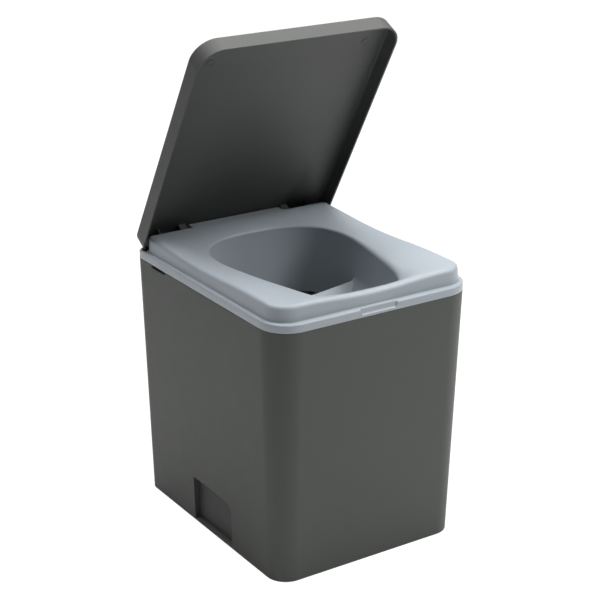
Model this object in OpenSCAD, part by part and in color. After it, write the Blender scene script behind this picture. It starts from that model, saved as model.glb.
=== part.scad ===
// Dry separating toilet: a drafted casing, a moulded seat with its separator, a lid on two hinge pins,
// and inside it a urine canister in front of a bucket for solids. Millimetres, +Z up, front towards -Y,
// origin on the floor below the middle of the casing.

/* [Casing] */
// Width of the casing across its rim
casing_w = 332; // [324:1:372]
// Depth of the casing from front to back at its rim
casing_d = 397; // [392:1:430]
// Height of the casing's rim above the floor
casing_h = 381; // [376:1:430]
// Wall thickness of the casing
casing_wall = 3; // [2.4:0.2:4]
// How far every side draws in from the rim to the floor
casing_draft = 12; // [6:1:13]
// Radius of the front upright corners at the rim
front_corner_r = 43; // [36:1:50]
// Radius of the rear upright corners at the rim
rear_corner_r = 29; // [24:1:34]
// Height of the casing floor's upper face
floor_z = 12; // [10:1:16]
// Height of the low ribs that keep the canister and the bucket in their places
rib_h = 14; // [8:1:24]

/* [Side pockets and rim slots] */
// Length of the pocket low on each side
pocket_l = 107; // [80:1:120]
// Height of the pocket
pocket_h = 73; // [50:1:90]
// Depth of the pocket into the side
pocket_depth = 9; // [5:0.5:10]
// How far the pocket's middle lies in front of the casing's middle
pocket_y = 7.5; // [0:0.5:20]
// Radius of the pocket's front upper corner
pocket_corner_r = 18; // [8:1:24]
// Length of the finger slot in the casing's rim
slot_l = 40; // [24:1:60]
// Height of the finger slot
slot_h = 4.5; // [4.5:0.5:8]
// How far the slot's middle lies behind the casing's middle
slot_y = 121; // [90:1:130]

/* [Feet] */
// Diameter of a rubber foot
foot_d = 28; // [20:1:34]
// How far the feet hold the casing's edge off the floor
foot_gap = 1; // [0.6:0.1:2]

/* [Seat] */
// Shadow gap between the casing's rim and the seat's flange
seat_gap = 0.4; // [0.3:0.1:1.5]
// Thickness of the seat's flange
flange_h = 11.9; // [10:0.1:14]
// How far the raised seat stands in from the flange's edge at the sides
seat_inset = 7.5; // [7:0.5:9]
// How far the raised seat stands in from the flange's edge at the front
front_inset = 10; // [8:0.5:11]
// Height of the raised seat's corners above the flange
seat_rise = 23.5; // [21:0.5:23.5]
// How far the seat dips along its sides and front
seat_dip = 5; // [2:0.5:6]
// Rounding of the raised seat's upper edge at its front and sides
seat_edge_r = 7; // [5:0.5:10]
// Rounding of the raised seat's upper edge along its rear
rear_edge_r = 4; // [4:0.5:5]
// Wall thickness of the seat moulding
seat_wall = 3.2; // [2.6:0.2:4]
// Depth of the seat's collar inside the casing
collar_h = 12; // [6:1:20]
// Width of the finger notch in the flange's front
notch_w = 60; // [40:1:80]

/* [Seat opening] */
// Width of the opening at its widest
opening_w = 219; // [200:1:224]
// Distance from the casing's middle to the opening's front end
opening_front = 162; // [156:1:163]
// Distance from the casing's middle to the opening's rear end
opening_rear = 130; // [126:1:134]
// Distance of the widest place behind the casing's middle
opening_mid = 31; // [24:1:40]
// How much the opening narrows towards the front, as a share of its width
opening_taper = 0.37; // [0.2:0.01:0.4]
// Height of the opening's edge above the flange
opening_rise = 14.5; // [12:0.5:16]
// Rounding of the opening's edge
opening_edge_r = 5; // [3:0.5:8]
// Depth of the bowl wall below the opening's edge
bowl_depth = 102; // [90:1:104]
// How far the bowl wall draws in at its lower edge
bowl_draft = 13; // [6:1:16]

/* [Separator] */
// Distance of the separator's lip from the casing's middle, towards the rear
lip_y = 2; // [-20:1:8]
// Height of the lip below the opening's edge, in its middle
lip_drop = 70.6; // [64:0.2:72]
// How much higher the lip is at its ends than in its middle
lip_rise = 10.8; // [4:0.2:14]
// Radius with which the separator turns up into the bowl wall
lip_fillet = 12.2; // [8:0.2:14]
// Fall from the lip to the drain
drain_fall = 30; // [20:1:34]
// Distance of the drain in front of the casing's middle
drain_y = 95; // [88:1:100]
// Inner diameter of the drain
drain_d = 22; // [16:1:26]
// Wall thickness of the separator
separator_wall = 3; // [2.4:0.2:4]
// Length of the spout below the drain
spout_l = 44; // [36:1:48]

/* [Hinge] */
// Diameter of the hinge pins
pin_d = 8; // [6:0.5:9]
// Running clearance around a pin, on the radius
pin_play = 0.08; // [0.04:0.01:0.1]
// Distance of the hinge axis in front of the casing's rear edge
hinge_set = 21.9; // [21.5:0.2:23.5]
// Height of the hinge axis above the flange
hinge_rise = 11.8; // [11.4:0.1:12.4]
// Half the width of the block that holds the pins
block_x = 82; // [60:1:90]
// Outer radius of the lid's knuckles
knuckle_r = 8; // [7:0.5:9]
// Width of a knuckle
knuckle_w = 12; // [8:1:14]

/* [Lid] */
// Opening angle of the lid, counted from closed
lid_open = 60.5; // [0:0.5:97]
// Outer depth of the lid's pan
lid_h = 26; // [26:0.5:30]
// Wall thickness of the lid
lid_wall = 2.5; // [2:0.1:3]
// Gap between the closed lid and the flange
lid_gap = 1; // [0.6:0.1:2]
// Radius of the lid's front corners
lid_front_r = 36; // [30:1:44]
// Radius of the lid's rear corners
lid_rear_r = 21; // [18:1:26]
// Rounding of the lid's outer edge
lid_edge_r = 2.4; // [1:0.2:2.4]
// Diameter of the buffer pads
buffer_d = 13; // [8:1:16]

/* [Urine canister] */
// Width of the canister
canister_w = 236; // [200:1:250]
// Depth of the canister from front to back
canister_d = 138; // [110:1:140]
// Radius of the canister's upright corners
canister_r = 26; // [16:1:40]
// Wall thickness of the canister
canister_wall = 2.5; // [2:0.1:3]
// Outer diameter of the canister's neck
neck_d = 52; // [46:1:58]
// Height of the neck above the canister's shoulders
neck_h = 32; // [28:1:40]
// How far the separator's spout reaches down into the collar
spout_dip = 12.8; // [6:0.2:16]

/* [Solids bucket] */
// Width of the bucket across its rim
bucket_w = 244; // [220:1:256]
// Room behind the bucket's rim for its bail
bail_room = 23; // [22:1:40]
// How far the bucket's rim lies below the bowl wall's lower edge
bucket_drop = 17.8; // [16:0.2:60]
// Radius of the bucket's upright corners at its rim
bucket_r = 34; // [24:1:50]
// Wall thickness of the bucket
bucket_wall = 2.5; // [2:0.1:3]
// Diameter of the bail's wire
bail_wire_d = 5; // [4:0.5:6]

/* [Hidden] */
$fn = 64;

anthracite = [0.30, 0.31, 0.30];
pale_grey = [0.66, 0.70, 0.74];
rubber_black = [0.10, 0.10, 0.10];
milky_white = [0.86, 0.87, 0.85];
steel = [0.72, 0.73, 0.74];

corner_steps = 9; // flats on a quarter round
play = 0.3; // clearance between pieces that are lifted apart
weld = 0.5; // how far a rib runs into the wall it stands on

// Heights and plan of the casing
front_y = -casing_d / 2;
rear_y = casing_d / 2;
flange_bottom = casing_h + seat_gap;
flange_top = flange_bottom + flange_h;
hinge_y = rear_y - hinge_set;
function draft_at(z) = casing_draft * (1 - z / casing_h);

// Anticlockwise arc of points; a negative turn runs clockwise
function arc(x, y, r, from, turn, steps) =
    [for (i = [0 : steps]) [x + r * cos(from + turn * i / steps), y + r * sin(from + turn * i / steps)]];

// Round-cornered plan between y0 and y1 with its own front and rear radii, drawn in by "in" on every side
function plan(w, y0, y1, front_r, rear_r, in = 0) =
    let (f = max(front_r - in, 0.5), b = max(rear_r - in, 0.5), hw = w / 2 - in)
    concat(arc(-hw + f, y0 + in + f, f, 180, 90, corner_steps),
           arc(hw - f, y0 + in + f, f, 270, 90, corner_steps),
           arc(hw - b, y1 - in - b, b, 0, 90, corner_steps),
           arc(-hw + b, y1 - in - b, b, 90, 90, corner_steps));

// Two triangles for each patch between ring i and the ring after it
function skin(count, n, closed) =
    [for (i = [0 : count - (closed ? 1 : 2)], k = [0 : n - 1], half = [0, 1])
        let (j = (i + 1) % count, m = (k + 1) % n)
        half == 0 ? [i * n + k, j * n + k, j * n + m] : [i * n + k, j * n + m, i * n + m]];

// Solid through a stack of rings from the lowest to the highest, with a flat end on each
module stack_rings(rings) {
    n = len(rings[0]);
    last = (len(rings) - 1) * n;
    polyhedron(points = [for (r = rings, p = r) p],
               faces = concat(skin(len(rings), n, false),
                              [[for (k = [0 : n - 1]) k]],
                              [[for (k = [n - 1 : -1 : 0]) last + k]]));
}

// Solid through rings that return to the first one, like a bent frame
module hoop_rings(rings) {
    n = len(rings[0]);
    polyhedron(points = [for (r = rings, p = r) p], faces = skin(len(rings), n, true));
}

// Round-cornered block whose plan is drawn in by levels[i][0] at the height levels[i][1]
module tub(w, y0, y1, front_r, rear_r, levels) {
    stack_rings([for (l = levels) [for (p = plan(w, y0, y1, front_r, rear_r, l[0])) [p.x, p.y, l[1]]]]);
}

// ---------------------------------------------------------------- casing

module casing_block(in, z0, z1) {
    tub(casing_w, front_y, rear_y, front_corner_r, rear_corner_r,
        [[in + draft_at(z0), z0], [in + draft_at(z1), z1]]);
}

// Outline of the pocket seen from the left side, its front upper corner round
module pocket_outline(grow) {
    l = pocket_l + 2 * grow;
    h = pocket_h + grow;
    r = pocket_corner_r + grow;
    translate([-l / 2, -grow]) {
        square([l, h + grow - r]);
        translate([r, 0])
            square([l - r, h + grow]);
        translate([r, h + grow - r])
            circle(r);
    }
}

// The pocket as a block that runs in from outside the left wall to the depth given
module pocket_block(grow, depth) {
    out = 5;
    translate([-pocket_face - out, -pocket_y, pocket_z])
        rotate([90, 0, 90])
            linear_extrude(out + depth)
                pocket_outline(grow);
}
pocket_z = foot_gap + 4; // the strip below the pocket keeps the bottom edge whole
pocket_face = casing_w / 2 - draft_at(pocket_z);

module both_sides() {
    children();
    mirror([1, 0, 0])
        children();
}

foot_inset = 34; // from the casing's lower edge to a foot's middle
foot_x = casing_w / 2 - casing_draft - foot_inset;
foot_y = casing_d / 2 - casing_draft - foot_inset;
floor_under = floor_z - casing_wall;

module casing_shell() color(anthracite) {
    difference() {
        union() {
            difference() {
                casing_block(0, foot_gap, casing_h);
                difference() {
                    casing_block(casing_wall, floor_z, casing_h + 5);
                    both_sides()
                        intersection() {
                            pocket_block(casing_wall, pocket_depth + casing_wall);
                            casing_block(-1, 0, casing_h);
                        }
                }
                difference() {
                    casing_block(casing_wall, foot_gap - 5, floor_under);
                    both_sides()
                        pocket_block(casing_wall, pocket_depth + casing_wall);
                }
            }
            for (x = [-foot_x, foot_x], y = [-foot_y, foot_y])
                translate([x, y, foot_gap + 2])
                    cylinder(h = floor_under - foot_gap - 2 + weld, d = foot_d + 6);
            container_ribs();
            both_sides()
                collar_ribs();
        }
        both_sides()
            pocket_block(0, pocket_depth);
        both_sides()
            rim_slot();
        for (x = [-foot_x, foot_x], y = [-foot_y, foot_y])
            translate([x, y, foot_gap])
                cylinder(h = floor_under - foot_gap, d = foot_d + 2 * foot_play);
    }
}
foot_play = 0.1;

rib_l = 30;

// Low ribs across the floor, between which the canister and the bucket stand
module container_ribs() {
    half = bucket_w / 2 - bucket_draft - 12;
    for (x = [-half, half - rib_l])
        translate([x, divider_y - casing_wall / 2, floor_z - weld])
            cube([rib_l, casing_wall, rib_h + weld]);
}

// Upright ribs inside the rim that keep the seat's collar in place
module collar_ribs() {
    reach = seat_inset - casing_wall - play;
    front_reach = front_inset - casing_wall - play;
    for (y = [-0.25, 0.08] * casing_d)
        translate([casing_w / 2 - casing_wall - reach, y, casing_h - collar_rib_h])
            cube([reach + weld, casing_wall, collar_rib_h - 1]);
    translate([0.18 * casing_w, front_y + casing_wall - weld, casing_h - collar_rib_h])
        cube([casing_wall, front_reach + weld, collar_rib_h - 1]);
}
collar_rib_h = 40;

module rim_slot() {
    translate([-casing_w / 2 - 5, slot_y - slot_l / 2, casing_h - slot_h]) {
        translate([0, 0, slot_h / 2])
            cube([casing_wall + 8, slot_l, slot_h]);
        translate([0, slot_h / 2, 0])
            cube([casing_wall + 8, slot_l - slot_h, slot_h]);
        for (y = [slot_h / 2, slot_l - slot_h / 2])
            translate([0, y, slot_h / 2])
                rotate([0, 90, 0])
                    cylinder(h = casing_wall + 8, d = slot_h, $fn = 32);
    }
}

module foot(x, y) color(rubber_black)
    translate([x, y, 0])
        cylinder(h = floor_under, d = foot_d);

// ---------------------------------------------------------------- seat

seat_w = casing_w - 2 * seat_inset;
seat_front = front_y + front_inset;
shoulder_y = hinge_y - 9.2; // rear edge of the raised seat beside the block
block_y = hinge_y + 7.5; // rear face of the block
seat_front_r = front_corner_r - front_inset;
seat_rear_r = 10;
block_r = 5;
jog_r = 2;
lip_inset = 3.6; // width of the rim left around the gutter
lip_z = flange_top - 2; // height of that rim behind the seat
gutter_z = flange_top - 9.2; // floor of the gutter in which the lid's edge swings
crown_z = flange_top + seat_rise;
edge_z = flange_top + opening_rise;
notch_depth = 6;

// Half of the raised seat's outline from front middle to rear middle, drawn in by "in"; and beside each of its
// points the one that goes with it on the flange's outline
front_stops = [0, notch_w / 4, notch_w / 2 - 1.5, notch_w / 2 + 1.5, 0.6 * (seat_w / 2 - seat_front_r) + 8,
               seat_w / 2 - seat_front_r - 16];
side_steps = 8;
function raised_half(in) =
    let (hw = seat_w / 2, f = seat_front_r, b = seat_rear_r)
    concat([for (x = front_stops) [x, seat_front + in]],
           arc(hw - f, seat_front + f, f - in, 270, 90, 8),
           [for (i = [1 : side_steps - 1])
                [hw - in, seat_front + f + (shoulder_y - b - seat_front - f) * i / side_steps]],
           arc(hw - b, shoulder_y - b, b - in, 0, 90, 6),
           [[(hw - b + block_x) / 2, shoulder_y - in]],
           arc(block_x + jog_r, shoulder_y + jog_r, jog_r + in, 270, -90, 2),
           arc(block_x - block_r, block_y - block_r, block_r - in, 0, 90, 4),
           [[(block_x - block_r) / 2, block_y - in], [0, block_y - in]]);
function flange_half(in) =
    let (hw = casing_w / 2, f = front_corner_r, b = rear_corner_r)
    concat([for (x = front_stops) [x, front_y + in]],
           arc(hw - f, front_y + f, f - in, 270, 90, 8),
           [for (i = [1 : side_steps - 1])
                [hw - in, front_y + f + (rear_y - b - front_y - f) * i / side_steps]],
           arc(hw - b, rear_y - b, b - in, 0, 90, 6),
           [[(hw - b + block_x + 25) / 2, rear_y - in]],
           [for (x = [25, 18, 11]) [block_x + x, rear_y - in]],
           [for (i = [0 : 4]) [block_x + 4 - (4 + block_r) * i / 4, rear_y - in]],
           [[(block_x - block_r) / 2, rear_y - in], [0, rear_y - in]]);
half_n = len(raised_half(0));
corner_from = len(front_stops) + 9 + side_steps - 1; // first point of the rear corner
function ease(t) = let (u = min(max(t, 0), 1)) u * u * (3 - 2 * u);

// 0 on the sides and front, growing to 1 round the rear corner
rear_share = [for (k = [0 : half_n - 1]) ease((k - corner_from + 0.5) / 4)];
flare = [for (s = rear_share) 1.2 * (1 - s)]; // how much wider the raised seat is at its foot
rim_top = [for (s = rear_share) flange_top + (lip_z - flange_top) * s];
gutter = [for (s = rear_share) flange_top + (gutter_z - flange_top) * s];
// How much of the finger notch lies at each point
notch = [for (k = [0 : half_n - 1]) k < 3 ? 1 : 0];
// Height of the seat's crown along the outline
crown = [for (p = raised_half(0))
            let (side = cos(90 * min(abs(p.y - 25) / 150, 1)), front = cos(90 * min(abs(p.x) / 120, 1)))
            crown_z - seat_dip * (p.y < seat_front + 1 ? front * front
                                  : p.x > seat_w / 2 - 1 ? side * side : 0)];

// Opening, drawn in by "in": q runs from -90 at its front end to 90 at its rear end
rear_power = 2 / 2.57;
front_power = 2 / 10;
function opening_at(q, in) =
    let (a = opening_w / 2 - in, t = pow(abs(sin(q)), q < 0 ? front_power : rear_power))
    q < 0 ? [a * (1 - opening_taper * pow(t, 1.3)) * pow(cos(q), front_power),
             opening_mid - (opening_mid + opening_front - in) * t]
          : [a * pow(cos(q), rear_power), opening_mid + (opening_rear - opening_mid - in) * t];
aim_y = -10; // point that the rays across the seat start from
function aim(angle, lo = -90, hi = 90, turns = 30) =
    let (mid = (lo + hi) / 2, p = opening_at(mid, 0))
    turns == 0 ? mid
    : atan2(p.y - aim_y, p.x) < angle ? aim(angle, mid, hi, turns - 1) : aim(angle, lo, mid, turns - 1);
aims = [for (p = raised_half(0)) aim(atan2(p.y - aim_y, p.x))];
function opening_half(in) =
    [for (k = [0 : half_n - 1]) let (p = opening_at(aims[k], in)) k == 0 || k == half_n - 1 ? [0, p.y] : p];

// Rings in space over the half outlines
function level(half, z) = [for (p = half) [p.x, p.y, z]];
function levels(half, z) = [for (k = [0 : half_n - 1]) [half[k].x, half[k].y, z[k]]];
function blend(a, b, t, sag) =
    [for (k = [0 : half_n - 1]) [a[k].x + (b[k].x - a[k].x) * t, a[k].y + (b[k].y - a[k].y) * t,
                                 a[k].z + (b[k].z - a[k].z) * sag]];
function whole(half) = concat(half, [for (k = [half_n - 2 : -1 : 1]) [-half[k].x, half[k].y, half[k].z]]);

// Rounding of the upper edge at each point, the smaller one along the rear
edge_r = [for (s = rear_share) seat_edge_r + (rear_edge_r - seat_edge_r) * s];
function raised_ring(in, z) = [for (k = [0 : half_n - 1]) let (p = raised_half(in[k])[k]) [p.x, p.y, z[k]]];

brow_z = edge_z - 1; // height of the dished surface where the opening's rounding starts
outer_brow = raised_ring(edge_r, crown);
// The same line with the block left out, from which the top starts to fall towards the opening
jog_from = corner_from + 8; // first point of the inner corner between shoulder and block
jog_n = 7; // steps from there to the end of the block's outer corner
dish_from = [for (k = [0 : half_n - 1])
                let (p = outer_brow[k], t = (k - jog_from) / jog_n, y = shoulder_y - rear_edge_r)
                t <= 0 ? p : t > 1 ? [p.x, y, p.z] : [block_x + jog_r - jog_n * 3 * t, y, p.z]];
inner_brow = level(opening_half(-opening_edge_r), brow_z);
under_outer = raised_ring([for (r = edge_r) max(r, seat_wall + 1)], [for (c = crown) c - seat_wall]);
under_inner = level(opening_half(-opening_edge_r), brow_z - seat_wall);
opening_z = edge_z - opening_edge_r;
bowl_bottom = edge_z - bowl_depth;

module seat_moulding() {
    edge = [for (a = [0, 22, 45, 68]) raised_ring([for (r = edge_r) r * (1 - cos(a))],
                                                  [for (k = [0 : half_n - 1]) crown[k] - edge_r[k] * (1 - sin(a))])];
    brow = [for (a = [30, 60]) level(opening_half(-opening_edge_r * (1 - sin(a))),
                                     brow_z - opening_edge_r * (1 - cos(a)))];
    rings = concat(
        [level(flange_half(0), flange_bottom)],
        [[for (k = [0 : half_n - 1]) [flange_half(0)[k].x, flange_half(0)[k].y,
                                      rim_top[k] - 2 - notch[k] * notch_depth]]],
        [[for (k = [0 : half_n - 1]) let (p = flange_half(0.6 + 0.2 * notch[k])[k])
            [p.x, p.y, rim_top[k] - 0.6 - notch[k] * (notch_depth + 0.7)]]],
        [[for (k = [0 : half_n - 1]) let (p = flange_half(2)[k])
            [p.x, p.y, rim_top[k] - notch[k] * (notch_depth + 0.4)]]],
        [[for (k = [0 : half_n - 1]) let (p = flange_half(lip_inset)[k])
            [p.x, p.y, rim_top[k] - notch[k] * (notch_depth - 1)]]],
        [[for (k = [0 : half_n - 1]) let (p = flange_half(lip_inset + 0.8 + 2 * notch[k])[k])
            [p.x, p.y, gutter[k] - notch[k] * (notch_depth - 3.6)]]],
        [raised_ring([for (f = flare) -1.4 - f], gutter)],
        [raised_ring([for (f = flare) -0.3 - f], [for (g = gutter) g + 0.5])],
        [raised_ring([for (f = flare) -f], [for (g = gutter) g + 1.8])],
        edge,
        [outer_brow],
        [for (t = [0.04, 0.25, 0.5, 0.75]) blend(dish_from, inner_brow, t, t * t)],
        [inner_brow],
        brow,
        [level(opening_half(0), brow_z - opening_edge_r)],
        [level(opening_half(bowl_draft / 2), (brow_z - opening_edge_r + bowl_bottom) / 2)],
        [level(opening_half(bowl_draft), bowl_bottom)],
        [level(opening_half(bowl_draft - seat_wall), bowl_bottom)],
        [level(opening_half(-seat_wall), brow_z - opening_edge_r - 1)],
        [under_inner],
        [blend(under_outer, under_inner, 0.5, 0.25)],
        [under_outer],
        [levels(raised_half(seat_wall), [for (c = crown) c - seat_edge_r - 1])],
        [level(raised_half(seat_wall), flange_bottom - collar_h)],
        [level(raised_half(0), flange_bottom - collar_h)],
        [level(raised_half(0), flange_bottom)]);
    hoop_rings([for (r = rings) whole(r)]);
}

// Bosses under the block, open to its sides, that the hinge pins are pressed into
module pin_bosses() {
    for (side = [-1, 1])
        translate([side * (block_x - seat_wall - boss_l / 2 + weld / 2), hinge_y - 1, hinge_z + 1])
            cube([boss_l + weld, pin_d + 8, pin_d + 6], center = true);
}
boss_l = 14;

module seat() color(pale_grey) {
    difference() {
        union() {
            seat_moulding();
            pin_bosses();
        }
        for (side = [-1, 1])
            pin_hole(side, pin_d);
    }
}

// ---------------------------------------------------------------- separator

lip_z_mid = edge_z - lip_drop;
drain_z = lip_z_mid - drain_fall;
spout_end = drain_z - spout_l;
spout_r = drain_d / 2 + 2.5;
seam = 0.1; // gap between the separator and the bowl wall
floor_edge_z = lip_z_mid + lip_rise; // height at which the separator's floor would meet the bowl wall
weld_z = floor_edge_z + lip_fillet; // upper edge of the separator on the bowl wall
weld_foot_z = weld_z - sqrt(pow(lip_fillet + separator_wall, 2) - pow(lip_fillet, 2)); // and its lower edge

// Points of the bowl wall's inner face at the height z, from the front middle to y, its flats and all
function bowl_in(z) = bowl_draft * (opening_z - z) / (opening_z - bowl_bottom) + seam;
function on_wall(y, z) =
    let (h = opening_half(bowl_in(z)), k = max([for (i = [0 : half_n - 2]) if (h[i].y <= y) i]))
    h[k] + (h[k + 1] - h[k]) * (y - h[k].y) / (h[k + 1].y - h[k].y);
function wall_half(z) = concat([for (k = [0 : lip_station]) opening_half(bowl_in(z))[k]], [on_wall(lip_y, z)]);
lip_station = max([for (i = [0 : half_n - 2]) if (opening_half(bowl_in(weld_z))[i].y < lip_y - 2) i]);
lip_half = on_wall(lip_y, weld_z).x;
// Points along the right half of the lip, close together where it turns up
lip_points = concat([for (a = [60, 40, 20, 0]) [lip_half - lip_fillet * (1 - sin(a)), lip_y]],
                    [for (s = [0.8, 0.6, 0.4, 0.2, 0]) [s * (lip_half - lip_fillet), lip_y]]);

// Edge of the separator, from the front middle by the right wall and along the lip to its middle
upper_half = concat(wall_half(weld_z), lip_points);
lip_foot = lip_half - on_wall(lip_y, weld_foot_z).x; // how far the wall draws in below the lip's end
lower_half = concat(wall_half(weld_foot_z),
                    [for (p = lip_points) [p.x - lip_foot * pow(p.x / lip_half, 40), lip_y]]);
wall_n = lip_station + 2; // how many of those points lie on the wall
drain = [0, -drain_y];
// Distance from the drain to the wall beyond each point, and the floor's height at the point
wall_reach = [for (k = [0 : len(upper_half) - 1])
                 let (p = upper_half[k])
                 k < wall_n ? norm(p - drain) : lip_half * norm(p - drain) / max(p.x, 1)];
floor_edge = [for (k = [0 : len(upper_half) - 1])
                 k < wall_n ? floor_edge_z : lip_z_mid + lip_rise * pow(upper_half[k].x / lip_half, 1.2)];
// Height of the rounding towards the wall, d away from it, on the upper face and on the underside
function rounding(d, r) = d > lip_fillet ? 0 : r - sqrt(pow(r, 2) - pow(lip_fillet - max(d, 0), 2));

// Ring "back" away from the edge, or at the share t from the drain's edge to the start of the rounding
function separator_half(edge, back, t, start, wall) =
    [for (k = [0 : len(edge) - 1])
        let (out = norm(edge[k] - drain), dir = (edge[k] - drain) / out,
             r = t == 1 ? out - back : start + (out - lip_fillet - start) * t,
             z = drain_z + (floor_edge[k] - drain_z) * pow(max(r - start, 0) / (out - start), 1.4)
                 + rounding(wall_reach[k] - r, lip_fillet + wall) - wall)
        [dir.x * r, dir.y * r - drain_y, z]];
function drain_half(r, z) =
    [for (p = upper_half) let (dir = (p - drain) / norm(p - drain)) [dir.x * r, dir.y * r - drain_y, z]];
function both_halves(half) =
    concat(half, [for (k = [len(half) - 2 : -1 : 1]) [-half[k].x, half[k].y, half[k].z]]);

module separator() color(pale_grey) {
    backs = [0, 1.2, 3.6, 7.5, lip_fillet];
    shares = [0.8, 0.6, 0.4, 0.2, 0];
    bore_r = drain_d / 2;
    rings = concat(
        [for (d = backs) separator_half(upper_half, d, 1, bore_r, 0)],
        [for (t = shares) separator_half(upper_half, 0, t, bore_r, 0)],
        [drain_half(bore_r - 0.4, drain_z - 1), drain_half(bore_r - 0.4, spout_end),
         drain_half(spout_r, spout_end), drain_half(spout_r, drain_z - separator_wall - 1)],
        [for (i = [3 : -1 : 0]) separator_half(lower_half, 0, shares[i], spout_r + 1, separator_wall)],
        [for (i = [4 : -1 : 0]) separator_half(lower_half, backs[i], 1, spout_r + 1, separator_wall)]);
    hoop_rings([for (r = rings) both_halves(r)]);
}

module spout_seal() color(rubber_black) {
    translate([0, -drain_y, collar_top + play])
        difference() {
            cylinder(h = 5, d = seal_d);
            translate([0, 0, -1])
                cylinder(h = 7, r = spout_r + 0.05);
        }
}
seal_d = 2 * spout_r + 14;

// ---------------------------------------------------------------- hinge

hinge_z = flange_top + hinge_rise;
knuckle_gap = 2.5; // air between the block and a knuckle
pin_l = boss_l + seat_wall + knuckle_gap + knuckle_w + 2;

// Bore on the hinge axis, from the inner end of a boss outwards
module pin_hole(side, d) {
    translate([side * (block_x - seat_wall - boss_l + 1), hinge_y, hinge_z])
        rotate([0, side * 90, 0])
            cylinder(h = pin_l + 2, d = d);
}

module hinge_pin(side) color(steel)
    translate([side * (block_x - seat_wall - boss_l + 1), hinge_y, hinge_z])
        rotate([0, side * 90, 0])
            union() {
                cylinder(h = pin_l - 2, d = pin_d);
                translate([0, 0, pin_l - 2])
                    cylinder(h = 1, d1 = pin_d, d2 = pin_d - 2);
            }

// ---------------------------------------------------------------- lid, drawn closed and then swung open

lid_w = casing_w - 2;
lid_front = front_y + 0.4;
lid_rear = hinge_y + 14.9;
lid_bottom = flange_top + lid_gap;
lid_top = lid_bottom + lid_h;
lid_inner = lid_top - lid_wall;
lid_draft = 0.6;

module swung() {
    translate([0, hinge_y, hinge_z])
        rotate([-lid_open, 0, 0])
            translate([0, -hinge_y, -hinge_z])
                children();
}

module lid_pan() {
    difference() {
        tub(lid_w, lid_front, lid_rear, lid_front_r, lid_rear_r,
            concat([[0, lid_bottom]],
                   [for (a = [0, 22, 45, 68, 90])
                       [lid_draft + lid_edge_r * (1 - cos(a)), lid_top - lid_edge_r * (1 - sin(a))]]));
        tub(lid_w, lid_front, lid_rear, lid_front_r, lid_rear_r,
            concat([[lid_wall - 0.1, lid_bottom - 1]],
                   [for (a = [0, 30, 60, 90])
                       [lid_wall + lid_draft + inner_r * (1 - cos(a)), lid_inner - inner_r * (1 - sin(a))]]));
    }
}
inner_r = 3.5; // round between the lid's panel and its walls

// Side view of a knuckle: round about the pin, and square into the panel and the rear wall
module knuckle(x) {
    back = lid_rear - lid_wall + weld - hinge_y;
    top = lid_inner + weld - hinge_z;
    translate([x, hinge_y, hinge_z])
        rotate([90, 0, 90])
            linear_extrude(knuckle_w)
                union() {
                    circle(knuckle_r);
                    translate([-knuckle_r, 0])
                        square([back + knuckle_r, top]);
                }
}

// Thin gusset that stiffens the corner between the panel and the rear wall
module gusset(x) {
    back = lid_rear - lid_wall + weld - hinge_y;
    top = lid_inner + weld - hinge_z;
    translate([x - 0.8, hinge_y, hinge_z])
        rotate([90, 0, 90])
            linear_extrude(1.6)
                polygon([[-gusset_l, top], [-knuckle_r, 2], [-2, -4], [back, -4], [back, top]]);
}
gusset_x = lid_w / 2 - 34;
gusset_l = hinge_y - shoulder_y - 2 * play; // how far it reaches in front of the hinge axis, clear of the seat
rear_trim = 5; // how much shorter the rear wall is than the side walls, so that it swings clear

module lid_shell() color(anthracite) {
    knuckle_x = block_x + knuckle_gap;
    trim_x = lid_w / 2 - lid_rear_r + 12;
    swung()
        difference() {
            union() {
                lid_pan();
                for (x = [knuckle_x, -knuckle_x - knuckle_w])
                    knuckle(x);
                for (x = [-gusset_x, gusset_x])
                    gusset(x);
            }
            translate([-trim_x, lid_rear - 7, lid_bottom - 1])
                cube([2 * trim_x, 10, 1 + rear_trim]);
            translate([-knuckle_x, lid_rear - 4.5, lid_bottom - 1])
                cube([2 * knuckle_x, 10, lid_inner - lid_bottom + 1]);
            for (side = [-1, 1])
                pin_hole(side, pin_d + 2 * pin_play);
        }
}

module lid_buffer(side) color(anthracite) {
    swung()
        translate([side * (lid_w / 2 - 37), lid_front + 44.6, lid_inner - buffer_h])
            cylinder(h = buffer_h, d1 = buffer_d - 1, d2 = buffer_d);
}
buffer_h = 0.6;

// ---------------------------------------------------------------- urine canister

canister_gap = 8.4; // air between the canister's front and the casing's wall at the floor
canister_y0 = front_y + draft_at(floor_z) + casing_wall + canister_gap;
canister_y1 = canister_y0 + canister_d;
divider_y = canister_y1 + 3 + casing_wall / 2; // middle of the rib between canister and bucket
canister_z = floor_z;
collar_lid_h = 10; // from the neck's top to the collar's
collar_skirt = 20; // how far the collar reaches down over the neck
collar_top = spout_end + spout_dip;
neck_top = collar_top - collar_lid_h;
shoulder_z = neck_top - neck_h;
grip_x = canister_w / 2 - 42; // middle of a hand hole
grip_l = 58;
grip_h = 28;
grip_bar = 18; // height of the bar over a hand hole
grip_z = shoulder_z - grip_bar - grip_h;

module canister_blank(in) {
    tub(canister_w, canister_y0, canister_y1, canister_r, canister_r,
        [[in + 7, canister_z + in], [in + 2, canister_z + in + 2], [in, canister_z + in + 8],
         [in, shoulder_z - in - 16], [in + 3, shoulder_z - in - 6], [in + 12, shoulder_z - in]]);
}

// Lower part of the canister over its whole width, and the raised middle that carries the neck
module canister_parts(in) {
    middle_x = grip_x - grip_l / 2 - in;
    intersection() {
        canister_blank(in);
        union() {
            translate([-canister_w, canister_y0, canister_z])
                cube([2 * canister_w, canister_d, grip_z - canister_z - in]);
            translate([-middle_x, canister_y0, canister_z])
                cube([2 * middle_x, canister_d, shoulder_z - canister_z]);
        }
    }
}

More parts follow.
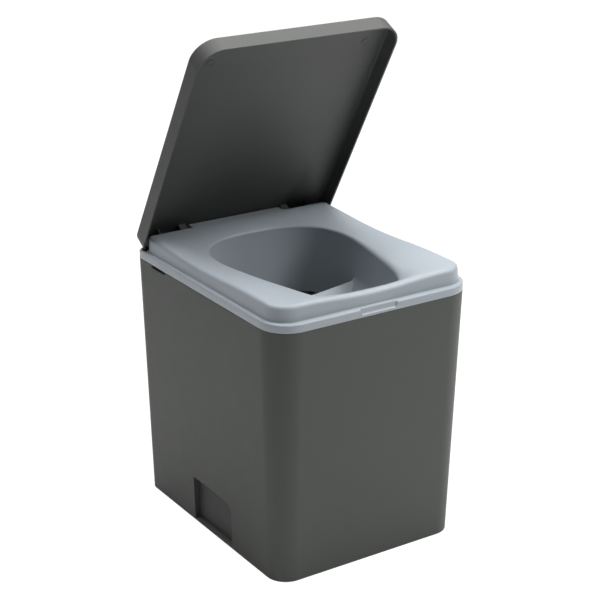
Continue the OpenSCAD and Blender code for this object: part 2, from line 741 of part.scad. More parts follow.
module urine_canister() color(milky_white) {
    difference() {
        canister_parts(0);
        canister_parts(canister_wall);
        translate([0, -drain_y, shoulder_z - 2 * canister_wall])
            cylinder(h = 3 * canister_wall, d = neck_d - 2 * canister_wall);
    }
}

module canister_neck() color(milky_white) {
    translate([0, -drain_y, shoulder_z])
        difference() {
            cylinder(h = neck_h, d = neck_d);
            translate([0, 0, -1])
                cylinder(h = neck_h + 2, d = neck_d - 2 * canister_wall);
        }
}

// Bar over a hand hole, from the raised middle to a post on the canister's shoulder
module canister_grip(side) color(milky_white) {
    middle_y = (canister_y0 + canister_y1) / 2;
    mirror([side < 0 ? 1 : 0, 0, 0])
        difference() {
            intersection() {
                canister_blank(0);
                translate([grip_x - grip_l / 2, middle_y - grip_bar, grip_z])
                    cube([canister_w, 2 * grip_bar, grip_h + grip_bar]);
            }
            translate([grip_x, middle_y - grip_bar - 1, grip_z])
                rotate([-90, 0, 0])
                    mirror([0, 1, 0])
                        linear_extrude(2 * grip_bar + 2)
                            grip_outline();
        }
}

// Hand hole with a round outer end, open towards the raised middle
module grip_outline() {
    translate([-grip_l / 2 - 1, 0])
        square([grip_l - grip_h / 2 + 1, grip_h]);
    translate([(grip_l - grip_h) / 2, grip_h / 2])
        circle(grip_h / 2);
}

module canister_collar() color(anthracite) {
    translate([0, -drain_y, 0])
        difference() {
            translate([0, 0, neck_top - collar_skirt])
                cylinder(h = collar_lid_h + collar_skirt, d = neck_d + 8);
            translate([0, 0, neck_top - collar_skirt - 1])
                cylinder(h = collar_skirt + 1 + gasket_h, d = neck_d + 2 * play);
            translate([0, 0, neck_top])
                cylinder(h = collar_lid_h + 1, r = spout_r + 1);
            for (a = [0 : 20 : 340])
                rotate([0, 0, a])
                    translate([neck_d / 2 + 5, 0, neck_top - collar_skirt - 1])
                        cylinder(h = collar_skirt + 4, d = 3, $fn = 16);
        }
}
gasket_h = 2;

module collar_gasket() color(rubber_black) {
    translate([0, -drain_y, neck_top])
        difference() {
            cylinder(h = gasket_h, d = neck_d);
            translate([0, 0, -1])
                cylinder(h = gasket_h + 2, d = neck_d - 2 * canister_wall);
        }
}

// ---------------------------------------------------------------- solids bucket

bucket_y0 = divider_y + casing_wall / 2 + 5;
bucket_z = floor_z;
bucket_top = bowl_bottom - bucket_drop;
bucket_y1 = rear_y - draft_at(bucket_top) - casing_wall - bail_room;
bucket_draft = 9;
bucket_rim = 5; // how far the rim stands out
// The bail's axis and reach are whole steps of half a millimetre, so that its stretches of wire meet exactly
bail_y = round(bucket_y0 + bucket_y1) / 2;
bail_z = round(2 * (bucket_top - 16)) / 2;
ear_x = bucket_w / 2 + 4; // outer face of the ears
bail_x = ear_x + bail_wire_d / 2 + 1;
bail_reach = round(2 * (bucket_y1 - bail_y + 11)) / 2;
bail_r = 24;
bail_grip_l = 90;
bail_grip_d = 15;

module solids_bucket() color(anthracite) {
    difference() {
        union() {
            tub(bucket_w, bucket_y0, bucket_y1, bucket_r, bucket_r,
                [[bucket_rim + bucket_draft + 5, bucket_z], [bucket_rim + bucket_draft, bucket_z + 5],
                 [bucket_rim, bucket_top - 6], [0, bucket_top - 6], [0, bucket_top]]);
            both_sides()
                translate([bucket_w / 2 - bucket_rim - 2, bail_y, bail_z])
                    rotate([0, 90, 0])
                        cylinder(h = bucket_rim + 6, d = bail_wire_d + 9);
        }
        tub(bucket_w, bucket_y0, bucket_y1, bucket_r, bucket_r,
            [[bucket_rim + bucket_draft + 5 + bucket_wall, bucket_z + bucket_wall],
             [bucket_rim + bucket_draft + bucket_wall, bucket_z + bucket_wall + 5],
             [bucket_rim + bucket_wall, bucket_top + 1]]);
        both_sides()
            translate([bucket_w / 2 - bucket_rim + 1, bail_y, bail_z])
                rotate([0, 90, 0])
                    cylinder(h = 20, d = bail_wire_d + 2 * pin_play);
    }
}

module liner_ring() color(milky_white) {
    lap = bucket_rim + bucket_wall + play;
    difference() {
        tub(bucket_w, bucket_y0, bucket_y1, bucket_r, bucket_r,
            [[lap + 0.6, bucket_top - ring_h], [lap, bucket_top], [1, bucket_top], [1, bucket_top + ring_lip]]);
        tub(bucket_w, bucket_y0, bucket_y1, bucket_r, bucket_r,
            [[lap + 3, bucket_top - ring_h - 1], [lap + 2.2, bucket_top + ring_lip + 1]]);
    }
}
ring_h = 14; // how far the ring reaches down into the bucket
ring_lip = 3; // thickness of its flange on the bucket's rim

// Quarter bend of wire about the point x, y
module bend(x, y, from) {
    translate([x, y, bail_z])
        rotate([0, 0, from])
            rotate_extrude(angle = 90)
                translate([bail_r, 0])
                    circle(d = bail_wire_d, $fn = 32);
}

module bucket_bail() color(steel) {
    union() {
        both_sides() {
            translate([bucket_w / 2 - bucket_rim + 2, bail_y, bail_z])
                rotate([0, 90, 0])
                    cylinder(h = bail_x - bucket_w / 2 + bucket_rim - 2, d = bail_wire_d, $fn = 32);
            translate([bail_x, bail_y, bail_z])
                sphere(d = bail_wire_d, $fn = 32);
            translate([bail_x, bail_y, bail_z])
                rotate([-90, 0, 0])
                    cylinder(h = bail_reach - bail_r, d = bail_wire_d, $fn = 32);
            bend(bail_x - bail_r, bail_y + bail_reach - bail_r, 0);
            translate([0, bail_y + bail_reach, bail_z])
                rotate([0, 90, 0])
                    cylinder(h = bail_x - bail_r, d = bail_wire_d, $fn = 32);
        }
    }
}

module bail_grip() color(anthracite) {
    translate([-bail_grip_l / 2, bail_y + bail_reach, bail_z])
        rotate([0, 90, 0])
            difference() {
                cylinder(h = bail_grip_l, d = bail_grip_d);
                translate([0, 0, -1])
                    cylinder(h = bail_grip_l + 2, d = bail_wire_d);
            }
}

casing_shell();
foot(-foot_x, -foot_y);  // foot_front_left
foot(foot_x, -foot_y);  // foot_front_right
foot(-foot_x, foot_y);  // foot_rear_left
foot(foot_x, foot_y);  // foot_rear_right
seat();
separator();
spout_seal();
hinge_pin(-1);  // hinge_pin_left
hinge_pin(1);  // hinge_pin_right
lid_shell();
lid_buffer(-1);  // lid_buffer_left
lid_buffer(1);  // lid_buffer_right
urine_canister();
canister_neck();
canister_grip(-1);  // canister_grip_left
canister_grip(1);  // canister_grip_right
canister_collar();
collar_gasket();
solids_bucket();
liner_ring();
bucket_bail();
bail_grip();
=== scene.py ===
import math

import bmesh
import bpy
from mathutils import Matrix, Quaternion, Vector


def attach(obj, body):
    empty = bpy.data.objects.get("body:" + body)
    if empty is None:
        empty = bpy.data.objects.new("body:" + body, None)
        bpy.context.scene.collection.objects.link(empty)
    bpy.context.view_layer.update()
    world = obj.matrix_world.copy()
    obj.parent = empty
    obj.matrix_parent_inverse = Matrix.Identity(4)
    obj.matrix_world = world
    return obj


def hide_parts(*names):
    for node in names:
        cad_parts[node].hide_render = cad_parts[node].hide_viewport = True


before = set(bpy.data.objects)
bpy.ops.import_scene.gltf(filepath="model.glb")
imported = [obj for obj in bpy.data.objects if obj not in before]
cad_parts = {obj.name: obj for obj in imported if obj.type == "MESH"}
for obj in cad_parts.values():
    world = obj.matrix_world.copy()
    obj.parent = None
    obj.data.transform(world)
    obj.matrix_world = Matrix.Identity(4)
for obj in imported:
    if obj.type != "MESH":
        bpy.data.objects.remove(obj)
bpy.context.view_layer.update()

mm = 0.001


# ---------------------------------------------------------------- casing
# The casing is one deep tub, injection moulded in dark anthracite plastic with a draft towards the floor and a
# fine satin texture. Each side has a finger pocket low down and a finger slot in the rim. It stands on four feet
# and holds everything else.

casing_width = 332 * mm
casing_depth = 397 * mm
casing_front = -casing_depth / 2
casing_rear = casing_depth / 2
rim_z = 381 * mm
bottom_z = 1 * mm
casing_wall = 3 * mm
casing_draft = 12 * mm
front_corner = 43 * mm
rear_corner = 29 * mm
floor_z = 12 * mm
floor_under = floor_z - casing_wall
past = 5 * mm  # how far a cutting form reaches out of what it cuts
sunk = 0.5 * mm  # how deep a joined form starts inside what it stands on
near = 1e-6  # within this, a place is the one that is looked for


def drawn_in(z):
    """How far the casing's sides stand in from the rim at a height."""
    return casing_draft * (1 - z / rim_z)


def begin(name, add, **settings):
    """Add a primitive by itself, put its place and size into its mesh, and open it in edit mode."""
    bpy.ops.object.select_all(action="DESELECT")
    add(**settings)
    piece = bpy.context.object
    piece.name = name
    piece.data.name = name
    bpy.ops.object.transform_apply(location=True, rotation=True, scale=True)
    bpy.ops.object.mode_set(mode="EDIT")
    bpy.ops.mesh.select_all(action="DESELECT")
    return piece


def pick(kind, wanted):
    """In edit mode, select just the vertices, edges or faces that pass a test."""
    bpy.ops.mesh.select_mode(type=kind)
    bpy.ops.mesh.select_all(action="DESELECT")
    mesh = bpy.context.edit_object.data
    shape = bmesh.from_edit_mesh(mesh)
    for part in list({"VERT": shape.verts, "EDGE": shape.edges, "FACE": shape.faces}[kind]):
        if wanted(part):
            part.select_set(True)
    shape.select_flush_mode()
    bmesh.update_edit_mesh(mesh)


def middle(part):
    """Middle of an edge or a face."""
    return sum((vertex.co for vertex in part.verts), Vector()) / len(part.verts)


def end_edit():
    """Turn all faces outwards and leave edit mode."""
    bpy.ops.mesh.select_all(action="SELECT")
    bpy.ops.mesh.normals_make_consistent(inside=False)
    bpy.ops.object.mode_set(mode="OBJECT")
    return bpy.context.object


def rounded_block(name, width, front, rear, front_r, rear_r, levels, steps=14):
    """Closed block with round upright corners, through levels of (drawn in, height) that never widen."""
    inset, z = levels[0]
    block = begin(name, bpy.ops.mesh.primitive_plane_add, size=1, location=(0, (front + rear) / 2, z))
    bpy.ops.mesh.select_all(action="SELECT")
    bpy.ops.transform.resize(value=(width - 2 * inset, rear - front - 2 * inset, 1),
                             center_override=(0, (front + rear) / 2, z))
    for side, radius in ((-1, front_r), (1, rear_r)):
        pick("VERT", lambda vertex: (vertex.co.y - (front + rear) / 2) * side > 0)
        bpy.ops.mesh.bevel(offset=radius - inset, segments=steps, affect="VERTICES")
    pick("FACE", lambda face: True)
    for (before, from_z), (after, to_z) in zip(levels, levels[1:]):
        bpy.ops.mesh.inset(thickness=after - before, depth=to_z - from_z, use_even_offset=True)
    pick("EDGE", lambda edge: edge.is_boundary)
    bpy.ops.mesh.edge_face_add()
    return end_edit()


def apply(piece, change):
    """Apply a modifier to its piece."""
    bpy.ops.object.select_all(action="DESELECT")
    piece.select_set(True)
    bpy.context.view_layer.objects.active = piece
    bpy.ops.object.modifier_apply(modifier=change.name)


def combine(piece, tool, operation="DIFFERENCE"):
    """Cut a piece with a tool, or join the two, and use the tool up."""
    change = piece.modifiers.new("combine", "BOOLEAN")
    change.operation = operation
    change.solver = "EXACT"
    change.object = tool
    apply(piece, change)
    bpy.data.objects.remove(tool, do_unlink=True)


def split_concave():
    """Cut concave faces into convex ones, which shade and touch as they should."""
    bpy.ops.object.mode_set(mode="EDIT")
    bpy.ops.mesh.select_all(action="SELECT")
    bpy.ops.mesh.vert_connect_concave()
    bpy.ops.object.mode_set(mode="OBJECT")


def soften(piece, width, segments=2, sharper_than=38):
    """Round the sharp edges a little, as a mould does, and shade the rest smooth."""
    change = piece.modifiers.new("edges", "BEVEL")
    change.width = width
    change.segments = segments
    change.limit_method = "ANGLE"
    change.angle_limit = math.radians(sharper_than)
    apply(piece, change)
    split_concave()
    bpy.ops.object.shade_smooth_by_angle(angle=math.radians(32))
    flatten = piece.modifiers.new("flat_faces", "WEIGHTED_NORMAL")
    flatten.keep_sharp = True
    flatten.weight = 100
    apply(piece, flatten)


def block(name, low, high):
    """Box between two corners, open in edit mode."""
    size = [b - a for a, b in zip(low, high)]
    centre = [(a + b) / 2 for a, b in zip(low, high)]
    return begin(name, bpy.ops.mesh.primitive_cube_add, size=1, location=centre, scale=size)


pocket_depth = 9 * mm
pocket_front = -61 * mm
pocket_rear = 46 * mm
pocket_low = 4 * mm
pocket_high = 73.5 * mm
pocket_corner = 15 * mm
pocket_face = casing_width / 2 - drawn_in(pocket_low)


def pocket_tool(side, grow, depth):
    """Block that cuts the pocket from one side, its front upper corner round."""
    inner, outer = sorted((side * (pocket_face - depth), side * (pocket_face + past)))
    block("pocket_tool", (inner, pocket_front - grow, pocket_low - grow),
          (outer, pocket_rear + grow, pocket_high + grow))
    pick("EDGE", lambda edge: middle(edge).y < pocket_front - grow + near
         and middle(edge).z > pocket_high + grow - near)
    bpy.ops.mesh.bevel(offset=pocket_corner + grow, segments=14, affect="EDGES")
    return end_edit()


tub = rounded_block("casing_tub", casing_width, casing_front, casing_rear, front_corner, rear_corner,
                    [(0, rim_z), (drawn_in(bottom_z), bottom_z)])
cavity = rounded_block("cavity", casing_width, casing_front, casing_rear, front_corner, rear_corner,
                       [(casing_wall + drawn_in(rim_z + past), rim_z + past),
                        (casing_wall + drawn_in(floor_z), floor_z)])
recess = rounded_block("recess", casing_width, casing_front, casing_rear, front_corner, rear_corner,
                       [(casing_wall + drawn_in(floor_under), floor_under),
                        (casing_wall + drawn_in(-past), -past)])
for side in (-1, 1):
    combine(cavity, pocket_tool(side, casing_wall, pocket_depth + casing_wall))
    combine(recess, pocket_tool(side, casing_wall, pocket_depth + casing_wall))
combine(tub, cavity)
combine(tub, recess)

slot_y = 121 * mm
slot_half = 20 * mm
slot_height = 4.5 * mm
slot_depth = 8 * mm
for side in (-1, 1):
    combine(tub, pocket_tool(side, 0, pocket_depth))
    inner, outer = sorted((side * (casing_width / 2 - slot_depth), side * (casing_width / 2 + past)))
    block("slot_tool", (inner, slot_y - slot_half, rim_z - slot_height),
          (outer, slot_y + slot_half, rim_z + slot_height))
    pick("EDGE", lambda edge: middle(edge).z < rim_z - slot_height + near
         and abs(abs(middle(edge).y - slot_y) - slot_half) < near)
    bpy.ops.mesh.bevel(offset=slot_height / 2, segments=8, affect="EDGES")
    combine(tub, end_edit())

foot_inset = 34 * mm
foot_places = [(name, x * (casing_width / 2 - casing_draft - foot_inset),
                y * (casing_depth / 2 - casing_draft - foot_inset))
               for name, x, y in (("front_left", -1, -1), ("front_right", 1, -1),
                                  ("rear_left", -1, 1), ("rear_right", 1, 1))]
foot_width = 28 * mm
foot_play = 0.1 * mm
boss_wall = 3 * mm
boss_low = 3 * mm
for name, x, y in foot_places:
    begin("foot_boss", bpy.ops.mesh.primitive_cylinder_add, vertices=48, radius=foot_width / 2 + boss_wall,
          depth=floor_under + sunk - boss_low, location=(x, y, (floor_under + sunk + boss_low) / 2))
    combine(tub, end_edit(), "UNION")
    begin("foot_bore", bpy.ops.mesh.primitive_cylinder_add, vertices=48, radius=foot_width / 2 + foot_play,
          depth=floor_under, location=(x, y, floor_under / 2 - sunk))
    combine(tub, end_edit())

rib_wall = 3 * mm
rib_play = 0.3 * mm
inner_side = casing_width / 2 - casing_wall
inner_front = casing_front + casing_wall
divider_y = -33 * mm
divider_high = floor_z + 14 * mm
divider_long = 30 * mm
ribs = [((x, divider_y - rib_wall / 2, floor_z - sunk), (x + divider_long, divider_y + rib_wall / 2, divider_high))
        for x in (-101 * mm, 71 * mm)]
rib_low, rib_high = rim_z - 40 * mm, rim_z - 1 * mm
side_gap, front_gap = 7.5 * mm, 10 * mm  # from the casing's outside at the rim to the seat's skirt
for y in (-0.25 * casing_depth, 0.08 * casing_depth):
    for side in (-1, 1):
        inner, outer = sorted((side * (casing_width / 2 - side_gap + rib_play), side * (inner_side + sunk)))
        ribs.append(((inner, y, rib_low), (outer, y + rib_wall, rib_high)))
for x in (0.18 * casing_width, -0.18 * casing_width - rib_wall):
    ribs.append(((x, inner_front - sunk, rib_low), (x + rib_wall, casing_front + front_gap - rib_play, rib_high)))
for low, high in ribs:
    block("rib", low, high)
    combine(tub, end_edit(), "UNION")
soften(tub, 0.5 * mm)


class Signal:
    """A shader socket that Python arithmetic works on."""

    def __init__(self, tree, socket):
        self.tree = tree
        self.socket = socket

    def _maths(self, operation, first, second):
        node = self.tree.nodes.new("ShaderNodeMath")
        node.operation = operation
        for place, value in zip(node.inputs, (first, second)):
            if isinstance(value, Signal):
                self.tree.links.new(value.socket, place)
            else:
                place.default_value = value
        return Signal(self.tree, node.outputs[0])

    def __add__(self, other):
        return self._maths("ADD", self, other)

    def __radd__(self, other):
        return self._maths("ADD", other, self)

    def __sub__(self, other):
        return self._maths("SUBTRACT", self, other)

    def __rsub__(self, other):
        return self._maths("SUBTRACT", other, self)

    def __mul__(self, other):
        return self._maths("MULTIPLY", self, other)

    def __rmul__(self, other):
        return self._maths("MULTIPLY", other, self)


class Nodes:
    """The emptied node tree of a material or of the world."""

    def __init__(self, owner):
        owner.use_nodes = True
        self.tree = owner.node_tree
        self.tree.nodes.clear()

    def node(self, kind, settings=(), inputs=(), output=0):
        """Add a node with its settings first, then the values or links of its sockets."""
        node = self.tree.nodes.new(kind)
        for name, value in dict(settings).items():
            setattr(node, name, value)
        for name, value in dict(inputs).items():
            if isinstance(value, Signal):
                self.tree.links.new(value.socket, node.inputs[name])
            else:
                node.inputs[name].default_value = value
        return Signal(self.tree, node.outputs[output]) if node.outputs else None


class Finish(Nodes):
    """A material with one surface shader, and the nodes that feed it."""

    def __init__(self, name, **fixed):
        self.material = bpy.data.materials.new(name)
        super().__init__(self.material)
        self.shader = self.tree.nodes.new("ShaderNodeBsdfPrincipled")
        self.node("ShaderNodeOutputMaterial", {}, {"Surface": Signal(self.tree, self.shader.outputs[0])})
        for socket, value in fixed.items():
            self.shader.inputs[socket.replace("_", " ")].default_value = value

    def feed(self, **signals):
        """Link signals to the surface shader's own sockets."""
        for socket, signal in signals.items():
            self.tree.links.new(signal.socket, self.shader.inputs[socket.replace("_", " ")])

    def object_place(self):
        return self.node("ShaderNodeTexCoord", output="Object")

    def noise(self, place, scale, detail=2.0, rough=0.5):
        return self.node("ShaderNodeTexNoise", {}, {"Vector": place, "Scale": scale, "Detail": detail,
                                                    "Roughness": rough})

    def mix_colour(self, share, first, second):
        return self.node("ShaderNodeMix", {"data_type": "RGBA"},
                         {0: share, 6: (*first, 1), 7: (*second, 1)}, output=2)

    def bump(self, height, distance):
        return self.node("ShaderNodeBump", {}, {"Height": height, "Distance": distance, "Strength": 1.0})

    def put_on(self, piece):
        piece.data.materials.clear()
        piece.data.materials.append(self.material)


def moulded(name, colour, darker, rough, grain, grain_depth, cloud=0.12, shine=0.14):
    """Moulded plastic: an eroded grain, faint clouds in the colour, and a roughness that follows the grain."""
    finish = Finish(name, Specular_IOR_Level=shine)
    place = finish.object_place()
    grains = finish.noise(place, 1 / grain, 3.0, 0.6)
    clouds = finish.noise(place, 9.0, 3.0, 0.55)
    wiped = finish.noise(place, 38.0, 2.0, 0.5)
    share = clouds * 0.7 + wiped * 0.3
    finish.feed(Base_Color=finish.mix_colour(share, darker, colour),
                Roughness=rough + (wiped - 0.5) * cloud + (grains - 0.5) * 0.06,
                Normal=finish.bump(grains, grain_depth))
    return finish


anthracite = moulded("anthracite_plastic", (0.072, 0.076, 0.072), (0.065, 0.069, 0.064), 0.55, 0.45 * mm, 0.035 * mm)
anthracite.put_on(tub)
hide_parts("casing_shell")
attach(tub, "casing")


# ---------------------------------------------------------------- feet
# Four black rubber plugs, pushed into bosses under the casing, keep its edge just off the floor. Each has a
# rounded lower edge and a shallow dish with a raised middle, so that it grips.

rubber = Finish("black_rubber", Specular_IOR_Level=0.35)
place = rubber.object_place()
dust = rubber.noise(place, 900.0, 3.0)
rubber.feed(Base_Color=rubber.mix_colour(dust, (0.016, 0.016, 0.016), (0.03, 0.03, 0.03)),
            Roughness=0.72 + dust * 0.16, Normal=rubber.bump(dust, 0.02 * mm))


def copied(piece, name, change):
    """Copy of a finished piece with its own mesh, moved or turned by a matrix."""
    twin = bpy.data.objects.new(name, piece.data.copy())
    twin.data.name = name
    twin.data.transform(change)
    bpy.context.collection.objects.link(twin)
    return twin


foot_tread, foot_dish = 3.5 * mm, 5 * mm
foot = begin("foot_plug", bpy.ops.mesh.primitive_cylinder_add, vertices=64, radius=foot_width / 2,
             depth=floor_under, location=(0, 0, floor_under / 2))
pick("FACE", lambda face: middle(face).z < near)
for drawn, raised in ((foot_tread, 0), (0.6 * mm, -1.2 * mm), (foot_dish, 0), (0.5 * mm, 0.9 * mm)):
    bpy.ops.mesh.inset(thickness=drawn, depth=raised)
end_edit()
soften(foot, 0.5 * mm)
rubber.put_on(foot)
for name, x, y in foot_places:
    plug = copied(foot, "foot_plug_" + name, Matrix.Translation((x, y, 0)))
    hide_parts("foot_" + name)
    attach(plug, "casing")
bpy.data.objects.remove(foot, do_unlink=True)


# ---------------------------------------------------------------- seat
# The seat is one moulding of pale blue-grey plastic with a smooth satin skin: a flange that lies on the casing,
# a raised seat that dips at its sides and front, the bowl wall, and behind it a block for the hinge pins with a
# gutter around it. Its sections are lofted here from the same sizes as its solid, in millimetres.

half_width = 166.0
half_depth = 198.5
flange_low = 381.4
flange_top = 393.3
seat_half = 158.5
seat_front = -188.5
hinge_y = 176.6
hinge_z = 405.1
shoulder_y = 167.4
block_rear = 184.1
block_half = 82.0
corner_front, corner_rear = 33.0, 10.0
flange_front_r, flange_rear_r = 43.0, 29.0
block_corner, inner_corner = 5.0, 2.0
crown_top = 416.8
dip = 5.0
dip_front_half = 120.0
dip_middle, dip_reach = 25.0, 150.0
rim_behind = 391.3
rim_width = 3.6
foot_flare = 1.2
gutter_floor = 384.1
opening_edge = 407.8
edge_round, rear_round, opening_round = 7.0, 4.0, 5.0
wall = 3.2
notch_half = 30.0
notch_end = 3.2
notch_deep = 6.0
opening_half, opening_mid, opening_front, opening_rear = 109.5, 31.0, 162.0, 130.0
opening_taper, taper_power = 0.37, 1.3
front_power, rear_power = 2 / 10, 2 / 2.57
bowl_deep, bowl_draft = 102.0, 13.0
dish_block_half = 63.0


def spread(a, b, steps, last=False):
    """Steps from a towards b, without b unless it is the last run."""
    return [a + (b - a) * i / steps for i in range(steps + (1 if last else 0))]


def ease(t):
    """From 0 to 1, slow at both ends."""
    t = min(max(t, 0.0), 1.0)
    return t * t * (3 - 2 * t)


def turn(x, y, radius, start, sweep, steps):
    """Points round a corner, from one angle through a sweep."""
    return [(x + radius * math.cos(math.radians(a)), y + radius * math.sin(math.radians(a)))
            for a in spread(start, start + sweep, steps)]


front_places = [0, 5, 10, 15, 20, 24, 26, 27, 28, 28.7, 29.4, 30, 30.6, 31.3, 32, 33, 35, 38, 43, 49, 56, 63, 70,
                77, 84, 91, 98, 105, 112, 118]
side_n, corner_n, rear_n, shoulder_n, inner_n, gap_n, outer_n, back_n = 44, 18, 18, 8, 6, 3, 10, 12


def raised_line(inset):
    """Half of the raised seat's outline, from its front middle to its rear middle."""
    hw, f, b = seat_half, corner_front, corner_rear
    return ([(x, seat_front + inset) for x in front_places]
            + turn(hw - f, seat_front + f, f - inset, 270, 90, corner_n)
            + [(hw - inset, y) for y in spread(seat_front + f, shoulder_y - b, side_n)]
            + turn(hw - b, shoulder_y - b, b - inset, 0, 90, rear_n)
            + [(x, shoulder_y - inset) for x in spread(hw - b, block_half + inner_corner, shoulder_n)]
            + turn(block_half + inner_corner, shoulder_y + inner_corner, inner_corner + inset, 270, -90, inner_n)
            + [(block_half - inset, y) for y in spread(shoulder_y + inner_corner, block_rear - block_corner, gap_n)]
            + turn(block_half - block_corner, block_rear - block_corner, block_corner - inset, 0, 90, outer_n)
            + [(x, block_rear - inset) for x in spread(block_half - block_corner, 0, back_n, True)])


def flange_line(inset):
    """The points on the flange's outline that go with those of the raised seat."""
    hw, f, b = half_width, flange_front_r, flange_rear_r
    rear = half_depth - inset
    stops = [hw - b, block_half + 25, block_half + 11, block_half + 4, block_half - block_corner]
    return ([(x, -half_depth + inset) for x in front_places]
            + turn(hw - f, -half_depth + f, f - inset, 270, 90, corner_n)
            + [(hw - inset, y) for y in spread(-half_depth + f, half_depth - b, side_n)]
            + turn(hw - b, half_depth - b, b - inset, 0, 90, rear_n)
            + [(x, rear) for x0, x1, n in zip(stops, stops[1:], (shoulder_n, inner_n, gap_n, outer_n))
               for x in spread(x0, x1, n)]
            + [(x, rear) for x in spread(stops[-1], 0, back_n, True)])


outline = raised_line(0)
count = len(outline)
side_start = len(front_places) + corner_n
rear_start = side_start + side_n
jog_start = rear_start + rear_n + shoulder_n
outer_start = jog_start + inner_n + gap_n


def corner_step(k):
    """How far round the rear corner a point is, in sixths; it begins an eighth of the side before it."""
    return (k - rear_start) / rear_n * 6 if k >= rear_start else (k - rear_start) / side_n * 8


def jog_share(k):
    """0 where the shoulder turns towards the block, 1 at the end of the block's own corner.

    The inner corner takes two sevenths of it, the short side one, and the block's corner four.
    """
    if k <= jog_start + inner_n:
        return (k - jog_start) / inner_n * 2 / 7
    if k <= outer_start:
        return (2 + (k - jog_start - inner_n) / gap_n) / 7
    return (3 + (k - outer_start) / outer_n * 4) / 7


rear_share = [ease((corner_step(k) + 0.5) / 4) for k in range(count)]
rim_top = [flange_top + (rim_behind - flange_top) * s for s in rear_share]
gutter = [flange_top + (gutter_floor - flange_top) * s for s in rear_share]
flare = [foot_flare * (1 - s) for s in rear_share]
notch = [ease((notch_half + notch_end / 2 - x) / notch_end) if k < len(front_places) else 0.0
         for k, (x, y) in enumerate(outline)]


def dip_at(k, x, y):
    """How much the crown dips at a point of the outline."""
    if k < len(front_places):
        return dip * math.cos(math.pi / 2 * min(x / dip_front_half, 1)) ** 2
    if side_start <= k <= rear_start + 6:
        fade = 1 - ease((k - rear_start) / 6)
        return dip * math.cos(math.pi / 2 * min(abs(y - dip_middle) / dip_reach, 1)) ** 2 * fade
    return 0.0


crown = [crown_top - dip_at(k, x, y) for k, (x, y) in enumerate(outline)]
round_at = [edge_round + (rear_round - edge_round) * s for s in rear_share]


def opening_at(angle, inset):
    """Point of the opening's outline, from -90 at its front end to 90 at its rear end."""
    a = opening_half - inset
    c = max(math.cos(math.radians(angle)), 0.0)
    if angle < 0:
        t = abs(math.sin(math.radians(angle))) ** front_power
        return (a * (1 - opening_taper * t ** taper_power) * c ** front_power,
                opening_mid - (opening_mid + opening_front - inset) * t)
    t = math.sin(math.radians(angle)) ** rear_power
    return (a * c ** rear_power, opening_mid + (opening_rear - opening_mid - inset) * t)


aim_y = -10.0


def aim(x, y):
    """The opening's angle on the ray from the seat's middle through a point, found by halving."""
    wanted, low, high = math.atan2(y - aim_y, x), -90.0, 90.0
    for _ in range(40):
        centre = (low + high) / 2
        px, py = opening_at(centre, 0)
        low, high = (centre, high) if math.atan2(py - aim_y, px) < wanted else (low, centre)
    return (low + high) / 2


aims = [aim(x, y) for x, y in outline]


def opening_line(inset):
    """The opening's outline, drawn in, from its front middle to its rear middle."""
    points = [opening_at(angle, inset) for angle in aims]
    points[0] = (0.0, points[0][1])
    points[-1] = (0.0, points[-1][1])
    return points


def opening_ring(insets, heights):
    """Ring on the opening with its own inset and height at every point."""
    ring = [(*opening_at(angle, inset), z) for angle, inset, z in zip(aims, insets, heights)]
    ring[0] = (0.0, *ring[0][1:])
    ring[-1] = (0.0, *ring[-1][1:])
    return ring


def level(line, z):
    """Ring at one height."""
    return [(x, y, z) for x, y in line]


def levels(line, heights):
    """Ring with its own height at every point."""
    return [(x, y, z) for (x, y), z in zip(line, heights)]


def raised_ring(insets, heights):
    """Raised outline with its own inset at every point."""
    lines = {inset: raised_line(inset) for inset in set(insets)}
    return [(*lines[inset][k], z) for k, (inset, z) in enumerate(zip(insets, heights))]


def blend(a, b, t, sag):
    """Ring between two others, at one share of the way across and another of the way down."""
    return [(p[0] + (q[0] - p[0]) * t, p[1] + (q[1] - p[1]) * t, p[2] + (q[2] - p[2]) * sag)
            for p, q in zip(a, b)]


def mirrored(half):
    """Whole ring from its right half."""
    return half + [(-x, y, z) for x, y, z in half[-2:0:-1]]


def loft(name, rings):
    """Closed skin through rings that come back to the first one, in metres."""
    rings = [mirrored(ring) for ring in rings]
    n, m = len(rings[0]), len(rings)
    mesh = bpy.data.meshes.new(name)
    mesh.from_pydata([Vector(point) * mm for ring in rings for point in ring], [],
                     [(i * n + k, ((i + 1) % m) * n + k, ((i + 1) % m) * n + (k + 1) % n, i * n + (k + 1) % n)
                      for i in range(m) for k in range(n)])
    piece = bpy.data.objects.new(name, mesh)
    bpy.context.collection.objects.link(piece)
    bpy.ops.object.select_all(action="DESELECT")
    piece.select_set(True)
    bpy.context.view_layer.objects.active = piece
    bpy.ops.object.mode_set(mode="EDIT")
    bpy.ops.mesh.select_all(action="SELECT")
    bpy.ops.mesh.remove_doubles(threshold=near)
    return end_edit()


def smooth(piece, sharper_than):
    """Shade a piece smooth but for its sharper edges."""
    bpy.ops.object.select_all(action="DESELECT")
    piece.select_set(True)
    bpy.context.view_layer.objects.active = piece
    bpy.ops.object.shade_smooth_by_angle(angle=math.radians(sharper_than))


